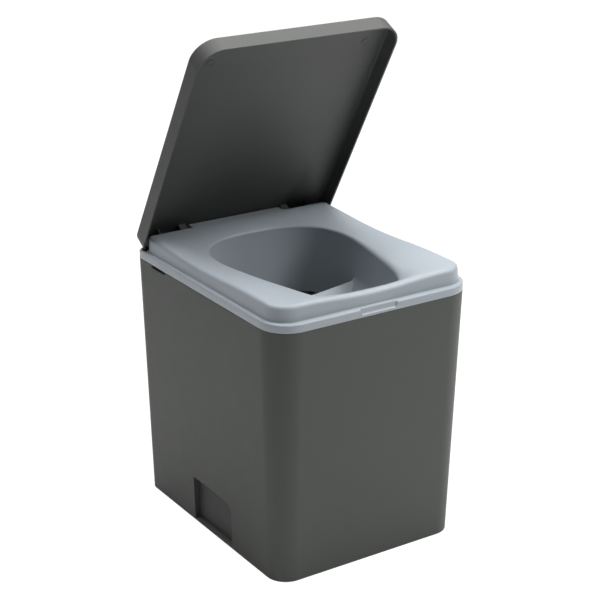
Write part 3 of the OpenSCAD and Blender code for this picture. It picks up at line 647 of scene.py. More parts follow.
brow_z = opening_edge - 1.0
outer_brow = raised_ring(round_at, crown)
dish_from = []
for k, (x, y, z) in enumerate(outer_brow):
    t, line_y = jog_share(k), shoulder_y - rear_round
    if t <= 0:
        dish_from.append((x, y, z))
    elif t <= 1:
        corner_x = block_half + inner_corner
        dish_from.append((corner_x + (dish_block_half - corner_x) * t, line_y, z))
    else:
        dish_from.append((dish_block_half * x / (block_half - block_corner), line_y, z))
wall_top = brow_z - opening_round
bowl_bottom = opening_edge - bowl_deep
soft_from, soft_long = 60, 165  # the brow grows softer from here towards the front, over this length
tip_from, tip_long, tip_loss = -130, 30, 0.6  # and loses this share of it again round the front end
brow_soft = [ease((soft_from - y) / soft_long) * (1 - tip_loss * ease((tip_from - y) / tip_long))
             for y in (opening_at(angle, 0)[1] for angle in aims)]
brow_wide = [4 + 8 * soft for soft in brow_soft]
brow_high = [brow_z + 3 * soft for soft in brow_soft]
brow_foot = [wall_top + 0.5 - 2 * soft for soft in brow_soft]
inner_brow = opening_ring([-wide for wide in brow_wide], brow_high)
brow_slope = [2 * (p[2] - q[2]) / math.hypot(p[0] - q[0], p[1] - q[1]) for p, q in zip(dish_from, inner_brow)]
foot_share = [(wall_top - foot) / (wall_top - bowl_bottom) for foot in brow_foot]


def brow_ring(u):
    """Ring on the soft brow between the dish and the bowl wall, which leaves the dish at its slope."""
    a, b, c = (1 - u) ** 2, 2 * u * (1 - u), u * u
    insets = [bowl_draft * share - (wide + bowl_draft * share) * a for wide, share in zip(brow_wide, foot_share)]
    heights = [a * high + b * (high - slope * wide) + c * foot
               for high, slope, wide, foot in zip(brow_high, brow_slope, brow_wide, brow_foot)]
    return opening_ring(insets, heights)


def bowl_ring(t):
    """Ring on the bowl wall, from the brow's foot to the wall's lower end."""
    shares = [share + (1 - share) * t for share in foot_share]
    return opening_ring([bowl_draft * share for share in shares],
                        [wall_top + (bowl_bottom - wall_top) * share for share in shares])


under_outer = raised_ring([max(r, wall + 1) for r in round_at], [c - wall for c in crown])
under_inner = [(x, y, z - wall) for x, y, z in inner_brow]


def flange_ring(insets, heights):
    """Flange outline with its own inset at every point."""
    lines = {inset: flange_line(inset) for inset in set(insets)}
    return [(*lines[inset][k], z) for k, (inset, z) in enumerate(zip(insets, heights))]


def rim_ring(inset, drop, notch_inset, notch_drop):
    """Ring on the flange's rim, drawn in and lowered further where the finger notch is."""
    return flange_ring([round(inset + notch_inset * n, 3) for n in notch],
                       [top - drop - notch_drop * n for top, n in zip(rim_top, notch)])


seat_rings = [level(flange_line(inset), flange_low + up) for inset, up in ((0.7, 0), (0.2, 0.2), (0, 0.8))]
seat_rings += [rim_ring(*ring) for ring in ((0, 2.2, 0, notch_deep), (0.15, 1.3, 0.65, notch_deep + 0.7),
                                            (0.6, 0.6, 1.1, notch_deep + 0.9), (1.2, 0.18, 1.2, notch_deep + 0.3),
                                            (2.0, 0, 0.85, notch_deep - 0.9),
                                            (rim_width - 0.6, 0, 0.25, notch_deep - 3.3),
                                            (rim_width, 0.05, -0.1, 0.8))]
seat_rings += [flange_ring([round(rim_width + 0.8 - 0.5 * n, 3) for n in notch],
                           [g + 0.12 - 0.2 * n for g, n in zip(gutter, notch)]),
               levels(flange_line(rim_width + 1.3), gutter)]
seat_rings += [raised_ring([round(inset - f, 4) for f in flare], [g + up for g in gutter])
               for inset, up in ((-2.0, 0.0), (-1.2, 0.1), (-0.6, 0.4), (-0.2, 0.95), (0, 1.9))]
seat_rings += [raised_ring([round(r * (1 - math.cos(math.radians(a))), 4) for r in round_at],
                           [c - r * (1 - math.sin(math.radians(a))) for c, r in zip(crown, round_at)])
               for a in spread(0, 90, 10)]
seat_rings += [outer_brow] + [blend(outer_brow, dish_from, t, t) for t in (0.1, 0.4, 0.7)]
seat_rings += [blend(dish_from, inner_brow, t, t * t) for t in spread(0.03, 1, 18)] + [inner_brow]
seat_rings += [brow_ring(u) for u in spread(0.1, 1, 9)] + [bowl_ring(t) for t in spread(0, 1, 14, True)]
seat_rings += [level(opening_line(bowl_draft - wall), bowl_bottom),
               opening_ring([-wall] * count, [foot - 1 for foot in brow_foot]), under_inner,
               blend(under_outer, under_inner, 0.5, 0.25), under_outer,
               levels(raised_line(wall), [c - edge_round - 1 for c in crown]),
               level(raised_line(wall), flange_low - 12), level(raised_line(0), flange_low - 12),
               level(raised_line(0), flange_low)]
seat = loft("seat_moulding", seat_rings)

boss_long, boss_deep, boss_high = 14.0, 16.0, 14.0
boss_off = 1.0
boss_inner = block_half - wall - boss_long
boss_outer = block_half - wall + sunk / mm
pin_r = 4.0
pin_start = boss_inner + 1.0
bore_long = 34.0
for side in (-1, 1):
    begin("pin_boss", bpy.ops.mesh.primitive_cube_add, size=1,
          location=Vector((side * (boss_inner + boss_outer) / 2, hinge_y - boss_off, hinge_z + boss_off)) * mm,
          scale=Vector((boss_outer - boss_inner, boss_deep, boss_high)) * mm)
    combine(seat, end_edit(), "UNION")
    begin("pin_bore", bpy.ops.mesh.primitive_cylinder_add, vertices=48, radius=pin_r * mm, depth=bore_long * mm,
          location=Vector((side * (pin_start + bore_long / 2), hinge_y, hinge_z)) * mm,
          rotation=(0, math.pi / 2, 0))
    combine(seat, end_edit())
smooth(seat, 34)

pale = Finish("pale_blue_grey_plastic", Specular_IOR_Level=0.35)
place = pale.object_place()
skin = pale.noise(place, 2600.0, 2.0)
flow = pale.noise(place, 7.0, 3.0, 0.55)
haze = pale.noise(place, 55.0, 2.0)
pale.feed(Base_Color=pale.mix_colour(flow, (0.264, 0.294, 0.322), (0.279, 0.310, 0.339)),
          Roughness=0.48 + (haze - 0.5) * 0.1 + (skin - 0.5) * 0.04,
          Normal=pale.bump(skin, 0.012 * mm))
pale.put_on(seat)
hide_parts("seat")
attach(seat, "seat")


# ---------------------------------------------------------------- separator
# The separator is a pale dished wall across the front of the bowl, whose raised lip keeps the solids behind it
# and whose floor falls to a drain with a spout. It is moulded by itself and welded into the bowl, so that no
# seam shows on the bowl wall.

lip_y, lip_drop, lip_rise, lip_round = 2.0, 70.6, 10.8, 12.2
lip_power, floor_power, foot_power = 1.2, 1.4, 40  # how late the lip, the floor and the lip's foot turn
drain_y, drain_r, drain_fall, spout_long = 95.0, 11.0, 30.0, 44.0
separator_wall = 3.0
seam = 0.1
lip_mid_z = opening_edge - lip_drop
drain_z = lip_mid_z - drain_fall
spout_z = drain_z - spout_long
spout_r = drain_r + 2.5
floor_edge_z = lip_mid_z + lip_rise
weld_z = floor_edge_z + lip_round
weld_foot_z = weld_z - math.sqrt((lip_round + separator_wall) ** 2 - lip_round ** 2)


def bowl_inset(z, gap=seam):
    """How far the bowl wall's face is drawn in at a height, with the separator's gap."""
    return bowl_draft * (wall_top - z) / (wall_top - bowl_bottom) + gap


def wall_line(z, gap=seam):
    """Points on the bowl wall at a height, from the front middle to the lip."""
    line = opening_line(bowl_inset(z, gap))
    k = max(i for i in range(count - 1) if line[i][1] <= lip_y)
    (x0, y0), (x1, y1) = line[k], line[k + 1]
    return line[:lip_station + 1] + [(x0 + (x1 - x0) * (lip_y - y0) / (y1 - y0), lip_y)]


lip_station = max(i for i in range(count - 1) if opening_line(bowl_inset(weld_z))[i][1] < lip_y - 1)
lip_half = wall_line(weld_z)[-1][0]
lip_line = ([(lip_half - lip_round * (1 - math.sin(math.radians(a))), lip_y) for a in spread(75, 0, 8, True)]
            + [(s * (lip_half - lip_round), lip_y) for s in spread(0.93, 0, 14, True)])
upper_edge = wall_line(weld_z) + lip_line
lip_foot = lip_half - wall_line(weld_foot_z)[-1][0]
lower_edge = wall_line(weld_foot_z) + [(x - lip_foot * (x / lip_half) ** foot_power, y) for x, y in lip_line]
wall_n = lip_station + 2


def reach(x, y):
    """How far a point is from the drain's middle."""
    return math.hypot(x, y + drain_y)


wall_reach = [reach(x, y) if k < wall_n else lip_half * reach(x, y) / max(x, 1.0)
              for k, (x, y) in enumerate(upper_edge)]
floor_edge = [floor_edge_z if k < wall_n else lip_mid_z + lip_rise * (x / lip_half) ** lip_power
              for k, (x, y) in enumerate(upper_edge)]


def turned_up(distance, radius):
    """Height gained in the rounding towards the wall, this far from it."""
    if distance > lip_round:
        return 0.0
    return radius - math.sqrt(radius ** 2 - (lip_round - max(distance, 0.0)) ** 2)


def separator_ring(edge, back, share, start, thick):
    """Ring a little back from the edge, or at a share of the way from the drain to the rounding."""
    ring = []
    for k, (x, y) in enumerate(edge):
        out = reach(x, y)
        r = out - back if share == 1 else start + (out - lip_round - start) * share
        z = (drain_z + (floor_edge[k] - drain_z) * (max(r - start, 0.0) / (out - start)) ** floor_power
             + turned_up(wall_reach[k] - r, lip_round + thick) - thick)
        ring.append((x / out * r, (y + drain_y) / out * r - drain_y, z))
    return ring


def drain_ring(r, z):
    """Level ring about the drain's middle."""
    return [(x / reach(x, y) * r, (y + drain_y) / reach(x, y) * r - drain_y, z) for x, y in upper_edge]


backs = [0, 0.25, 0.8, 1.6, 2.8, 4.4, 6.4, 9.0, lip_round]
shares = [0.92, 0.84, 0.74, 0.64, 0.54, 0.44, 0.34, 0.24, 0.15, 0.07, 0]
separator_rings = [separator_ring(upper_edge, back, 1, drain_r, 0) for back in backs]
separator_rings += [separator_ring(upper_edge, 0, share, drain_r, 0) for share in shares]
separator_rings += [drain_ring(*ring) for ring in ((drain_r - 0.3, drain_z - 0.4), (drain_r - 0.4, drain_z - 1.2),
                                                   (drain_r - 0.4, spout_z + 0.4), (drain_r, spout_z),
                                                   (spout_r - 0.5, spout_z), (spout_r, spout_z + 0.5),
                                                   (spout_r, drain_z - separator_wall - 2))]
separator_rings += [separator_ring(lower_edge, 0, share, spout_r + 1, separator_wall) for share in shares[-2::-1]]
separator_rings += [separator_ring(lower_edge, back, 1, spout_r + 1, separator_wall) for back in backs[::-1]]
separator = loft("separator_moulding", separator_rings)
smooth(separator, 34)
pale.put_on(separator)
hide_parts("separator")
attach(separator, "seat")


# ---------------------------------------------------------------- spout seal
# A soft black rubber washer with a thin lip, pushed up the spout from below. It closes the canister's collar
# while the seat is on.

spout_dip, seal_gap = 12.8, 0.3
seal_r, seal_high, seal_play = 20.5, 5.0, 0.05
seal_z = spout_z + spout_dip + seal_gap


def tube(name, outer, inner, low, high, y=-drain_y * mm, vertices=72):
    """Upright tube on the middle plane, made from a cylinder whose ends are inset and bridged."""
    piece = begin(name, bpy.ops.mesh.primitive_cylinder_add, vertices=vertices, radius=outer, depth=high - low,
                  location=(0, y, (low + high) / 2))
    pick("FACE", lambda face: abs(face.normal.z) > 0.9)
    bpy.ops.mesh.inset(thickness=outer - inner)
    bpy.ops.mesh.bridge_edge_loops()
    end_edit()
    return piece


seal = tube("seal_washer", seal_r * mm, (spout_r + seal_play) * mm, seal_z * mm, (seal_z + seal_high) * mm)
soften(seal, 0.7 * mm)
rubber.put_on(seal)
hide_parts("spout_seal")
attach(seal, "seat")


# ---------------------------------------------------------------- hinge pins
# Two turned steel pins, pressed outwards into bosses of the seat's block. The lid's knuckles turn on them and
# rub enough to hold the lid at any tilt.

steel = Finish("drawn_steel", Metallic=1.0)
place = steel.object_place()
drawn = steel.noise(steel.node("ShaderNodeMapping", {}, {"Vector": place, "Scale": (40.0, 1600.0, 1600.0)}),
                    1.0, 3.0)
steel.feed(Base_Color=steel.mix_colour(drawn, (0.5, 0.51, 0.52), (0.62, 0.63, 0.64)), Roughness=0.24 + drawn * 0.2,
           Normal=steel.bump(drawn, 0.006 * mm))
pin_long = 30.7
pin_chamfer = 0.9
pin = begin("pin_right", bpy.ops.mesh.primitive_cylinder_add, vertices=64, radius=pin_r * mm, depth=pin_long * mm,
            location=Vector((pin_start + pin_long / 2, hinge_y, hinge_z)) * mm, rotation=(0, math.pi / 2, 0))
pick("EDGE", lambda edge: abs(middle(edge).x - pin_start * mm) < near
     or abs(middle(edge).x - (pin_start + pin_long) * mm) < near)
bpy.ops.mesh.bevel(offset=pin_chamfer * mm, segments=3, affect="EDGES")
end_edit()
bpy.ops.object.shade_smooth_by_angle(angle=math.radians(32))
steel.put_on(pin)


def half_turn(y):
    """Half a turn about the upright line through a place on the middle plane."""
    return Matrix.Translation((0, y, 0)) @ Matrix.Rotation(math.pi, 4, "Z") @ Matrix.Translation((0, -y, 0))


for piece, name in ((copied(pin, "pin_left", half_turn(hinge_y * mm)), "left"), (pin, "right")):
    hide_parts("hinge_pin_" + name)
    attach(piece, "seat")


# ---------------------------------------------------------------- lid
# The lid is a shallow pan of the same anthracite plastic, moulded with round edges, two knuckles that turn on
# the pins and two thin gussets in its rear corners. It is drawn closed here and then tilted about the pins.

lid_tilt = math.radians(60.5)
lid_half = 165.0
lid_front, lid_rear = -198.1, 191.5
lid_low = 394.3
lid_top = 420.3
lid_wall, lid_draft = 2.5, 0.6
lid_edge, lid_inner_round = 2.4, 3.5
lid_front_r, lid_rear_r = 36.0, 21.0
lid_inner = lid_top - lid_wall


def scaled(pairs):
    """Levels given in millimetres, in metres."""
    return [(a * mm, b * mm) for a, b in pairs]


def rounded_levels(start, low, inset, radius, top, steps):
    """Levels up a wall and round into a panel."""
    return scaled([(start, low)] + [(inset + radius * (1 - math.cos(math.radians(a))),
                                     top - radius * (1 - math.sin(math.radians(a))))
                                    for a in spread(0, 90, steps, True)])


lid = rounded_block("lid_pan", 2 * lid_half * mm, lid_front * mm, lid_rear * mm, lid_front_r * mm,
                    lid_rear_r * mm, rounded_levels(0, lid_low, lid_draft, lid_edge, lid_top, 6))
hollow = rounded_block("lid_hollow", 2 * lid_half * mm, lid_front * mm, lid_rear * mm, lid_front_r * mm,
                       lid_rear_r * mm, rounded_levels(lid_wall - 0.1, lid_low - 1, lid_wall + lid_draft,
                                                       lid_inner_round, lid_inner, 6))
combine(lid, hollow)

knuckle_r, knuckle_in, knuckle_out = 8.0, 84.5, 96.5
gusset_x, gusset_half, gusset_long, gusset_down = 131.0, 0.8, 8.6, 4.0
bore_past = 2.0
pin_play = 0.08
back, top = lid_rear - lid_wall + sunk / mm, lid_inner + sunk / mm


def side_plate(name, x0, x1, corners):
    """Plate between two planes across the lid, with its side view given by corners."""
    bpy.ops.object.select_all(action="DESELECT")
    bpy.ops.mesh.primitive_circle_add(vertices=len(corners), radius=1, fill_type="NGON")
    plate = bpy.context.object
    plate.name = name
    for vertex, (y, z) in zip(plate.data.vertices, corners):
        vertex.co = Vector((x0, y, z)) * mm
    bpy.ops.object.mode_set(mode="EDIT")
    bpy.ops.mesh.select_all(action="SELECT")
    bpy.ops.mesh.extrude_region_move(TRANSFORM_OT_translate={"value": ((x1 - x0) * mm, 0, 0)})
    return end_edit()


def arc(middle_x, middle_y, radius, start, end, steps):
    """Points of an arc, both ends taken in."""
    return [(middle_x + radius * math.cos(math.radians(a)), middle_y + radius * math.sin(math.radians(a)))
            for a in spread(start, end, steps, True)]


knuckle_side = (arc(hinge_y, hinge_z, knuckle_r, 180, 360, 24)
                + [(back, hinge_z), (back, top), (hinge_y - knuckle_r, top)])
gusset_side = [(hinge_y - gusset_long, top), (hinge_y - knuckle_r, hinge_z + 2),
               (hinge_y - 2, hinge_z - gusset_down), (back, hinge_z - gusset_down), (back, top)]
for side in (-1, 1):
    x0, x1 = sorted((side * knuckle_in, side * knuckle_out))
    combine(lid, side_plate("knuckle", x0, x1, knuckle_side), "UNION")
    combine(lid, side_plate("gusset", side * gusset_x - gusset_half, side * gusset_x + gusset_half, gusset_side),
            "UNION")
    begin("knuckle_bore", bpy.ops.mesh.primitive_cylinder_add, vertices=64, radius=(pin_r + pin_play) * mm,
          depth=(knuckle_out - knuckle_in + 2 * bore_past) * mm,
          location=Vector((side * (knuckle_in + knuckle_out) / 2, hinge_y, hinge_z)) * mm,
          rotation=(0, math.pi / 2, 0))
    combine(lid, end_edit())

# The rear wall ends higher than the others, and is cut away between the knuckles where the seat's block stands.
low_half, low_deep, low_high = lid_half - lid_rear_r + 12, 7, 5
between_deep, trim_past = 4.5, 5.5
for half, deep, high in ((low_half, low_deep, lid_low + low_high), (knuckle_in, between_deep, lid_inner)):
    block("trim_tool", Vector((-half, lid_rear - deep, lid_low - 1)) * mm,
          Vector((half, lid_rear + trim_past, high)) * mm)
    combine(lid, end_edit())
split_concave()
soften(lid, 0.4 * mm)

lid_finish = moulded("anthracite_lid_plastic", (0.072, 0.075, 0.072), (0.065, 0.067, 0.064), 0.5, 0.4 * mm,
                     0.03 * mm)
hinge = Vector((0, hinge_y, hinge_z)) * mm
tilt = Matrix.Translation(hinge) @ Matrix.Rotation(-lid_tilt, 4, "X") @ Matrix.Translation(-hinge)
lid.data.transform(tilt)
lid_finish.put_on(lid)
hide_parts("lid_shell")
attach(lid, "lid")

pad_r, pad_high, pad_rim = 6.5, 0.6, 1.3
pad_x, pad_from_front = 128 * mm, 44.6
pad = begin("buffer_pad", bpy.ops.mesh.primitive_cylinder_add, vertices=48, radius=pad_r * mm,
            depth=pad_high * mm, location=Vector((0, lid_front + pad_from_front, lid_inner - pad_high / 2)) * mm)
pick("FACE", lambda face: middle(face).z < (lid_inner - pad_high) * mm + near)
bpy.ops.mesh.inset(thickness=pad_rim * mm)
bpy.ops.mesh.inset(thickness=0.3 * mm, depth=-0.45 * mm)
end_edit()
soften(pad, 0.12 * mm)
lid_finish.put_on(pad)
for x, name in ((-pad_x, "left"), (pad_x, "right")):
    buffer = copied(pad, "buffer_pad_" + name, tilt @ Matrix.Translation((x, 0, 0)))
    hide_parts("lid_buffer_" + name)
    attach(buffer, "lid")
bpy.data.objects.remove(pad, do_unlink=True)


# ---------------------------------------------------------------- urine canister
# The canister is blow moulded in natural milky polyethylene: a low body across the casing's front, whose middle
# rises to the neck. It stands on the casing's floor in front of a low rib.

milky = Finish("milky_plastic", Specular_IOR_Level=0.45)
place = milky.object_place()
milk = milky.noise(place, 14.0, 3.0)
milky.feed(Base_Color=milky.mix_colour(milk, (0.70, 0.72, 0.68), (0.76, 0.78, 0.74)), Roughness=0.42 + milk * 0.1,
           Normal=milky.bump(milky.noise(place, 1500.0), 0.02 * mm))

canister_width = 236 * mm
canister_front, canister_rear = -175.478 * mm, -37.478 * mm
canister_corner = 26 * mm
canister_wall = 2.5 * mm
canister_foot = 8 * mm  # the sides end this high above the casing's floor, and the bottom steps in below them
shoulder = 188 * mm
canister_top = 234 * mm
middle_half = 47 * mm
neck_r = 26 * mm


def canister_form(name, into):
    """The canister's outer or inner form, drawn in on every side."""
    low = floor_z + canister_foot + into
    form = rounded_block(name, canister_width, canister_front, canister_rear, canister_corner, canister_corner,
                         [(into, low), (into, canister_top - 16 * mm - into),
                          (into + 3 * mm, canister_top - 6 * mm - into), (into + 12 * mm, canister_top - into)])
    bpy.ops.object.mode_set(mode="EDIT")
    pick("FACE", lambda face: middle(face).z < low + near)
    for drawn, lowered in ((2 * mm, 6 * mm), (5 * mm, 2 * mm)):
        bpy.ops.mesh.inset(thickness=drawn, depth=lowered)
    end_edit()
    for side in (-1, 1):
        inner, outer = sorted((side * (middle_half - into), side * canister_width))
        block("shoulder_tool", (inner, canister_front - past, shoulder - into),
              (outer, canister_rear + past, canister_top + past))
        combine(form, end_edit())
    return form


canister = canister_form("canister_bottle", 0)
combine(canister, canister_form("canister_hollow", canister_wall))
begin("mouth_tool", bpy.ops.mesh.primitive_cylinder_add, vertices=64, radius=neck_r - canister_wall,
      depth=8 * mm, location=(0, -drain_y * mm, canister_top))
combine(canister, end_edit())
soften(canister, 1.2 * mm, 3)
milky.put_on(canister)
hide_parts("urine_canister")
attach(canister, "canister")


# ---------------------------------------------------------------- canister neck
# The neck stands on the raised middle, below the seat's drain. It is one with the canister, and its mouth is
# scraped to a clean edge for the gasket.

neck_top = canister_top + 32 * mm
neck = tube("neck_tube", neck_r, neck_r - canister_wall, canister_top, neck_top)
soften(neck, 0.4 * mm)
milky.put_on(neck)
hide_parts("canister_neck")
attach(neck, "canister")


# ---------------------------------------------------------------- canister grips
# A rounded bar over each hand hole, from the raised middle to a post at the canister's end. The two are one
# with the canister, and alike: the left one is the right one turned round.

hole_x, hole_z, hole_r = 91.0, 202.0, 14.0
bar_half = 18.0
bar_round = 2.0
bar_inner, bar_low, bar_top = middle_half / mm, shoulder / mm, canister_top / mm
bar_corners = ([(bar_inner, hole_z + hole_r)] + arc(hole_x, hole_z, hole_r, 90, -60, 15)
               + [(98.0, bar_low), (118.0, bar_low), (118.0, 218.0), (115.0, 228.0), (106.0, bar_top),
                  (bar_inner, bar_top)])
grip = side_plate("grip_bar_right", -bar_half, bar_half, bar_corners)
bpy.ops.object.mode_set(mode="EDIT")
pick("EDGE", lambda edge: abs(abs(middle(edge).x) - bar_half * mm) < near
     and middle(edge).y > middle_half + sunk and middle(edge).z > shoulder + bar_round * mm + sunk)
bpy.ops.mesh.bevel(offset=bar_round * mm, segments=4, affect="EDGES")
end_edit()
bpy.ops.object.shade_smooth_by_angle(angle=math.radians(32))
canister_mid = (canister_front + canister_rear) / 2
grip.data.transform(Matrix.Translation((0, canister_mid, 0)) @ Matrix.Rotation(-math.pi / 2, 4, "Z"))
milky.put_on(grip)
for piece, name in ((copied(grip, "grip_bar_left", half_turn(canister_mid)), "left"), (grip, "right")):
    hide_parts("canister_grip_" + name)
    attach(piece, "canister")


# ---------------------------------------------------------------- canister collar
# A dark screw collar with a fluted skirt holds the gasket down on the neck. The seat's spout dips through the
# hole in its top.

collar_r, collar_low, collar_high = 30 * mm, neck_top - 20 * mm, neck_top + 10 * mm
collar_play, spout_play = 0.3 * mm, 1 * mm
flutes, flute_r, flute_out, flute_high = 18, 1.5 * mm, 1 * mm, 23 * mm
gasket_top = neck_top + 2 * mm
collar = begin("collar_cap", bpy.ops.mesh.primitive_cylinder_add, vertices=144, radius=collar_r,
               depth=collar_high - collar_low, location=(0, -drain_y * mm, (collar_low + collar_high) / 2))
pick("FACE", lambda face: face.normal.z < -0.9)
bpy.ops.mesh.inset(thickness=collar_r - neck_r - collar_play)
bpy.ops.mesh.inset(thickness=0, depth=collar_low - gasket_top)
pick("FACE", lambda face: abs(face.normal.z) > 0.9 and len(face.verts) > 4)
bpy.ops.mesh.inset(thickness=0.4 * mm)
end_edit()
begin("collar_hole", bpy.ops.mesh.primitive_cylinder_add, vertices=96, radius=spout_r * mm + spout_play,
      depth=40 * mm, location=(0, -drain_y * mm, collar_high))
combine(collar, end_edit())
begin("flutes", bpy.ops.mesh.primitive_cylinder_add, vertices=16, radius=flute_r, depth=flute_high + 1 * mm,
      location=(collar_r + flute_out, -drain_y * mm, collar_low + (flute_high - 1 * mm) / 2))
bpy.ops.mesh.select_all(action="SELECT")
bpy.ops.mesh.spin(steps=flutes - 1, dupli=True, angle=math.radians(360 - 360 / flutes),
                  center=(0, -drain_y * mm, 0), axis=(0, 0, 1))
combine(collar, end_edit())
soften(collar, 0.3 * mm)
lid_finish.put_on(collar)
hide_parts("canister_collar")
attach(collar, "canister")


# ---------------------------------------------------------------- collar gasket
# A flat black rubber ring, punched from sheet, between the neck's mouth and the collar.

gasket = tube("gasket_ring", neck_r, neck_r - canister_wall, neck_top, gasket_top)
soften(gasket, 0.15 * mm)
rubber.put_on(gasket)
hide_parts("collar_gasket")
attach(gasket, "canister")


# ---------------------------------------------------------------- solids bucket
# The bucket is injection moulded in near black plastic, with a draft, a stepped rim and an ear on each side for
# the bail. It stands behind the canister.

bucket_finish = moulded("black_bucket_plastic", (0.05, 0.052, 0.05), (0.043, 0.045, 0.043), 0.46, 0.5 * mm,
                        0.03 * mm)
bucket_width = 244 * mm
bucket_front, bucket_rear = -26.478 * mm, 169.571 * mm
bucket_corner = 34 * mm
bucket_top, rim_high = 288.0, 6
bucket_low = floor_z / mm
bail_y, bail_z = 71.5, 272.0
wire_r = 2.5
ear_r, ear_x, ear_long = 7 * mm, 120.5, 11 * mm
bucket = rounded_block("bucket_tub", bucket_width, bucket_front, bucket_rear, bucket_corner, bucket_corner,
                       scaled([(0, bucket_top), (0, bucket_top - rim_high), (5, bucket_top - rim_high),
                               (14, bucket_low + 5), (19, bucket_low)]))
for side in (-1, 1):
    begin("ear", bpy.ops.mesh.primitive_cylinder_add, vertices=48, radius=ear_r, depth=ear_long,
          location=Vector((side * ear_x, bail_y, bail_z)) * mm, rotation=(0, math.pi / 2, 0))
    combine(bucket, end_edit(), "UNION")
combine(bucket, rounded_block("bucket_hollow", bucket_width, bucket_front, bucket_rear, bucket_corner, bucket_corner,
                              scaled([(7.5, bucket_top + 1), (16.5, bucket_low + 7.5),
                                      (21.5, bucket_low + 2.5)])))
for side in (-1, 1):
    begin("ear_bore", bpy.ops.mesh.primitive_cylinder_add, vertices=48, radius=(wire_r + pin_play) * mm,
          depth=20 * mm, location=Vector((side * 128, bail_y, bail_z)) * mm, rotation=(0, math.pi / 2, 0))
    combine(bucket, end_edit())
soften(bucket, 0.5 * mm)
bucket_finish.put_on(bucket)
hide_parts("solids_bucket")
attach(bucket, "bucket")


# ---------------------------------------------------------------- liner ring
# A milky ring, moulded with a flat flange, is pushed into the bucket's rim and clamps the bag's edge.

ring_flange, ring_skirt = 3, 14
ring = rounded_block("liner_frame", bucket_width, bucket_front, bucket_rear, bucket_corner, bucket_corner,
                     scaled([(1, bucket_top + ring_flange), (1, bucket_top), (7.8, bucket_top),
                             (8.4, bucket_top - ring_skirt)]))
combine(ring, rounded_block("ring_hollow", bucket_width, bucket_front, bucket_rear, bucket_corner, bucket_corner,
                            scaled([(10, bucket_top + ring_flange + 1), (10.8, bucket_top - ring_skirt - 1)])))
soften(ring, 0.5 * mm)
milky.put_on(ring)
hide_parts("liner_ring")
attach(ring, "bucket")


# ---------------------------------------------------------------- bail
# The bail is one drawn steel wire, its ends turned inwards into the bucket's ears. It lies back on the bucket's
# rim and swings up about the ears.

turn_r, bail_bend = 3.5, 24.0
bail_end, bail_side, bail_rear = 119.0, 129.5, 180.5
wire = begin("bail_wire", bpy.ops.mesh.primitive_circle_add, vertices=24, radius=wire_r * mm,
             location=Vector((bail_end, bail_y, bail_z)) * mm, rotation=(0, math.pi / 2, 0))
bpy.ops.mesh.select_all(action="SELECT")


def draw_wire(x, y):
    """Lengthen the wire by a straight stretch."""
    bpy.ops.mesh.extrude_region_move(TRANSFORM_OT_translate={"value": (x * mm, y * mm, 0)})


def bend_wire(x, y, steps):
    """Lengthen the wire by a quarter bend to the left about an upright line."""
    bpy.ops.mesh.spin(steps=steps, angle=-math.pi / 2, center=Vector((x, y, bail_z)) * mm, axis=(0, 0, 1))


draw_wire(bail_side - turn_r - bail_end, 0)
bend_wire(bail_side - turn_r, bail_y + turn_r, 8)
draw_wire(0, bail_rear - bail_bend - bail_y - turn_r)
bend_wire(bail_side - bail_bend, bail_rear - bail_bend, 16)
draw_wire(2 * (bail_bend - bail_side), 0)
bend_wire(bail_bend - bail_side, bail_rear - bail_bend, 16)
draw_wire(0, bail_y + turn_r - bail_rear + bail_bend)
bend_wire(turn_r - bail_side, bail_y + turn_r, 8)
draw_wire(bail_side - turn_r - bail_end, 0)
bpy.ops.mesh.select_all(action="SELECT")
bpy.ops.mesh.fill_holes(sides=0)
end_edit()
bpy.ops.object.shade_smooth_by_angle(angle=math.radians(40))
steel.put_on(wire)
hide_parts("bucket_bail")
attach(wire, "bail")


# ---------------------------------------------------------------- bail grip
# A black moulded tube with rounded ends turns on the middle of the wire.

handle_r, handle_half = 7.5 * mm, 45 * mm
handle = tube("bail_handle", handle_r, wire_r * mm, -handle_half, handle_half, 0, 48)
soften(handle, 1.2 * mm, 4)
handle.data.transform(Matrix.Translation(Vector((0, bail_rear, bail_z)) * mm)
                      @ Matrix.Rotation(math.pi / 2, 4, "Y"))
bucket_finish.put_on(handle)
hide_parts("bail_grip")
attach(handle, "bail")


# ---------------------------------------------------------------- studio
# A pale floor that runs up behind as plain white, one large soft light overhead that reaches behind the lid, a
# smaller one at the right of the front, hardly any fill, and the camera at the photograph's view.

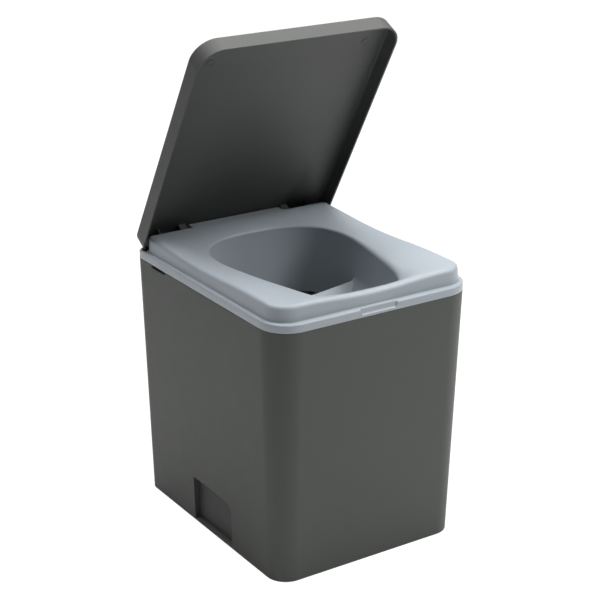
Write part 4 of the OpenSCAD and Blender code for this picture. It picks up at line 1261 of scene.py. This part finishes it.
white = (1, 1, 1, 1)
bpy.ops.object.select_all(action="DESELECT")
bpy.ops.mesh.primitive_plane_add(size=14, location=(0, 0, 0))
floor = bpy.context.object
floor.name = "studio_floor"
floor_finish = bpy.data.materials.new("white_floor")
ground = Nodes(floor_finish)
paint = ground.node("ShaderNodeBsdfDiffuse", {}, {"Color": (0.9, 0.9, 0.9, 1)})
glow = ground.node("ShaderNodeEmission", {}, {"Color": white, "Strength": 1.08})
glowing = ground.node("ShaderNodeLightPath", output="Is Camera Ray") * 0.9
ground.node("ShaderNodeOutputMaterial", {},
            {"Surface": ground.node("ShaderNodeMixShader", {}, {0: glowing, 1: paint, 2: glow})})
floor.data.materials.append(floor_finish)

world = bpy.data.worlds.new("studio_world")
bpy.context.scene.world = world
sky = Nodes(world)
ambient, reflected = 0.07, 0.12
by_camera, through, by_gloss = (sky.node("ShaderNodeLightPath", output="Is %s Ray" % kind)
                                for kind in ("Camera", "Transmission", "Glossy"))
strength = ambient + (by_camera + through) * (1 - ambient) + by_gloss * reflected
sky.node("ShaderNodeOutputWorld", {},
         {"Surface": sky.node("ShaderNodeBackground", {}, {"Color": white, "Strength": strength})})


def lamp(name, place, target, size, power):
    """Soft square lamp that points at a target."""
    light = bpy.data.lights.new(name, "AREA")
    light.shape = "SQUARE"
    light.size = size
    light.energy = power
    holder = bpy.data.objects.new(name, light)
    bpy.context.collection.objects.link(holder)
    holder.location = place
    holder.rotation_mode = "QUATERNION"
    holder.rotation_quaternion = (Vector(target) - Vector(place)).to_track_quat("-Z", "Y")


lamp("softbox_above", (0.4, 0.65, 2.4), (0.4, 0.65, 0), 3.0, 146)
lamp("softbox_right", (1.5, -1.3, 2.4), (1.5, -1.3, 0), 1.1, 68)

eye = Vector((-1.25010, -1.89919, 1.21055))
target = Vector((-0.03395, -0.05424, 0.36186))
camera = bpy.data.cameras.new("photo_camera")
camera.sensor_width = 36.0
camera.lens = 100.26
holder = bpy.data.objects.new("photo_camera", camera)
bpy.context.collection.objects.link(holder)
holder.location = eye
holder.rotation_mode = "QUATERNION"
roll = Quaternion((0, 0, 1), 0.0042)
holder.rotation_quaternion = (target - eye).to_track_quat("-Z", "Y") @ roll
bpy.context.scene.camera = holder
bpy.context.scene.view_settings.view_transform = "Standard"
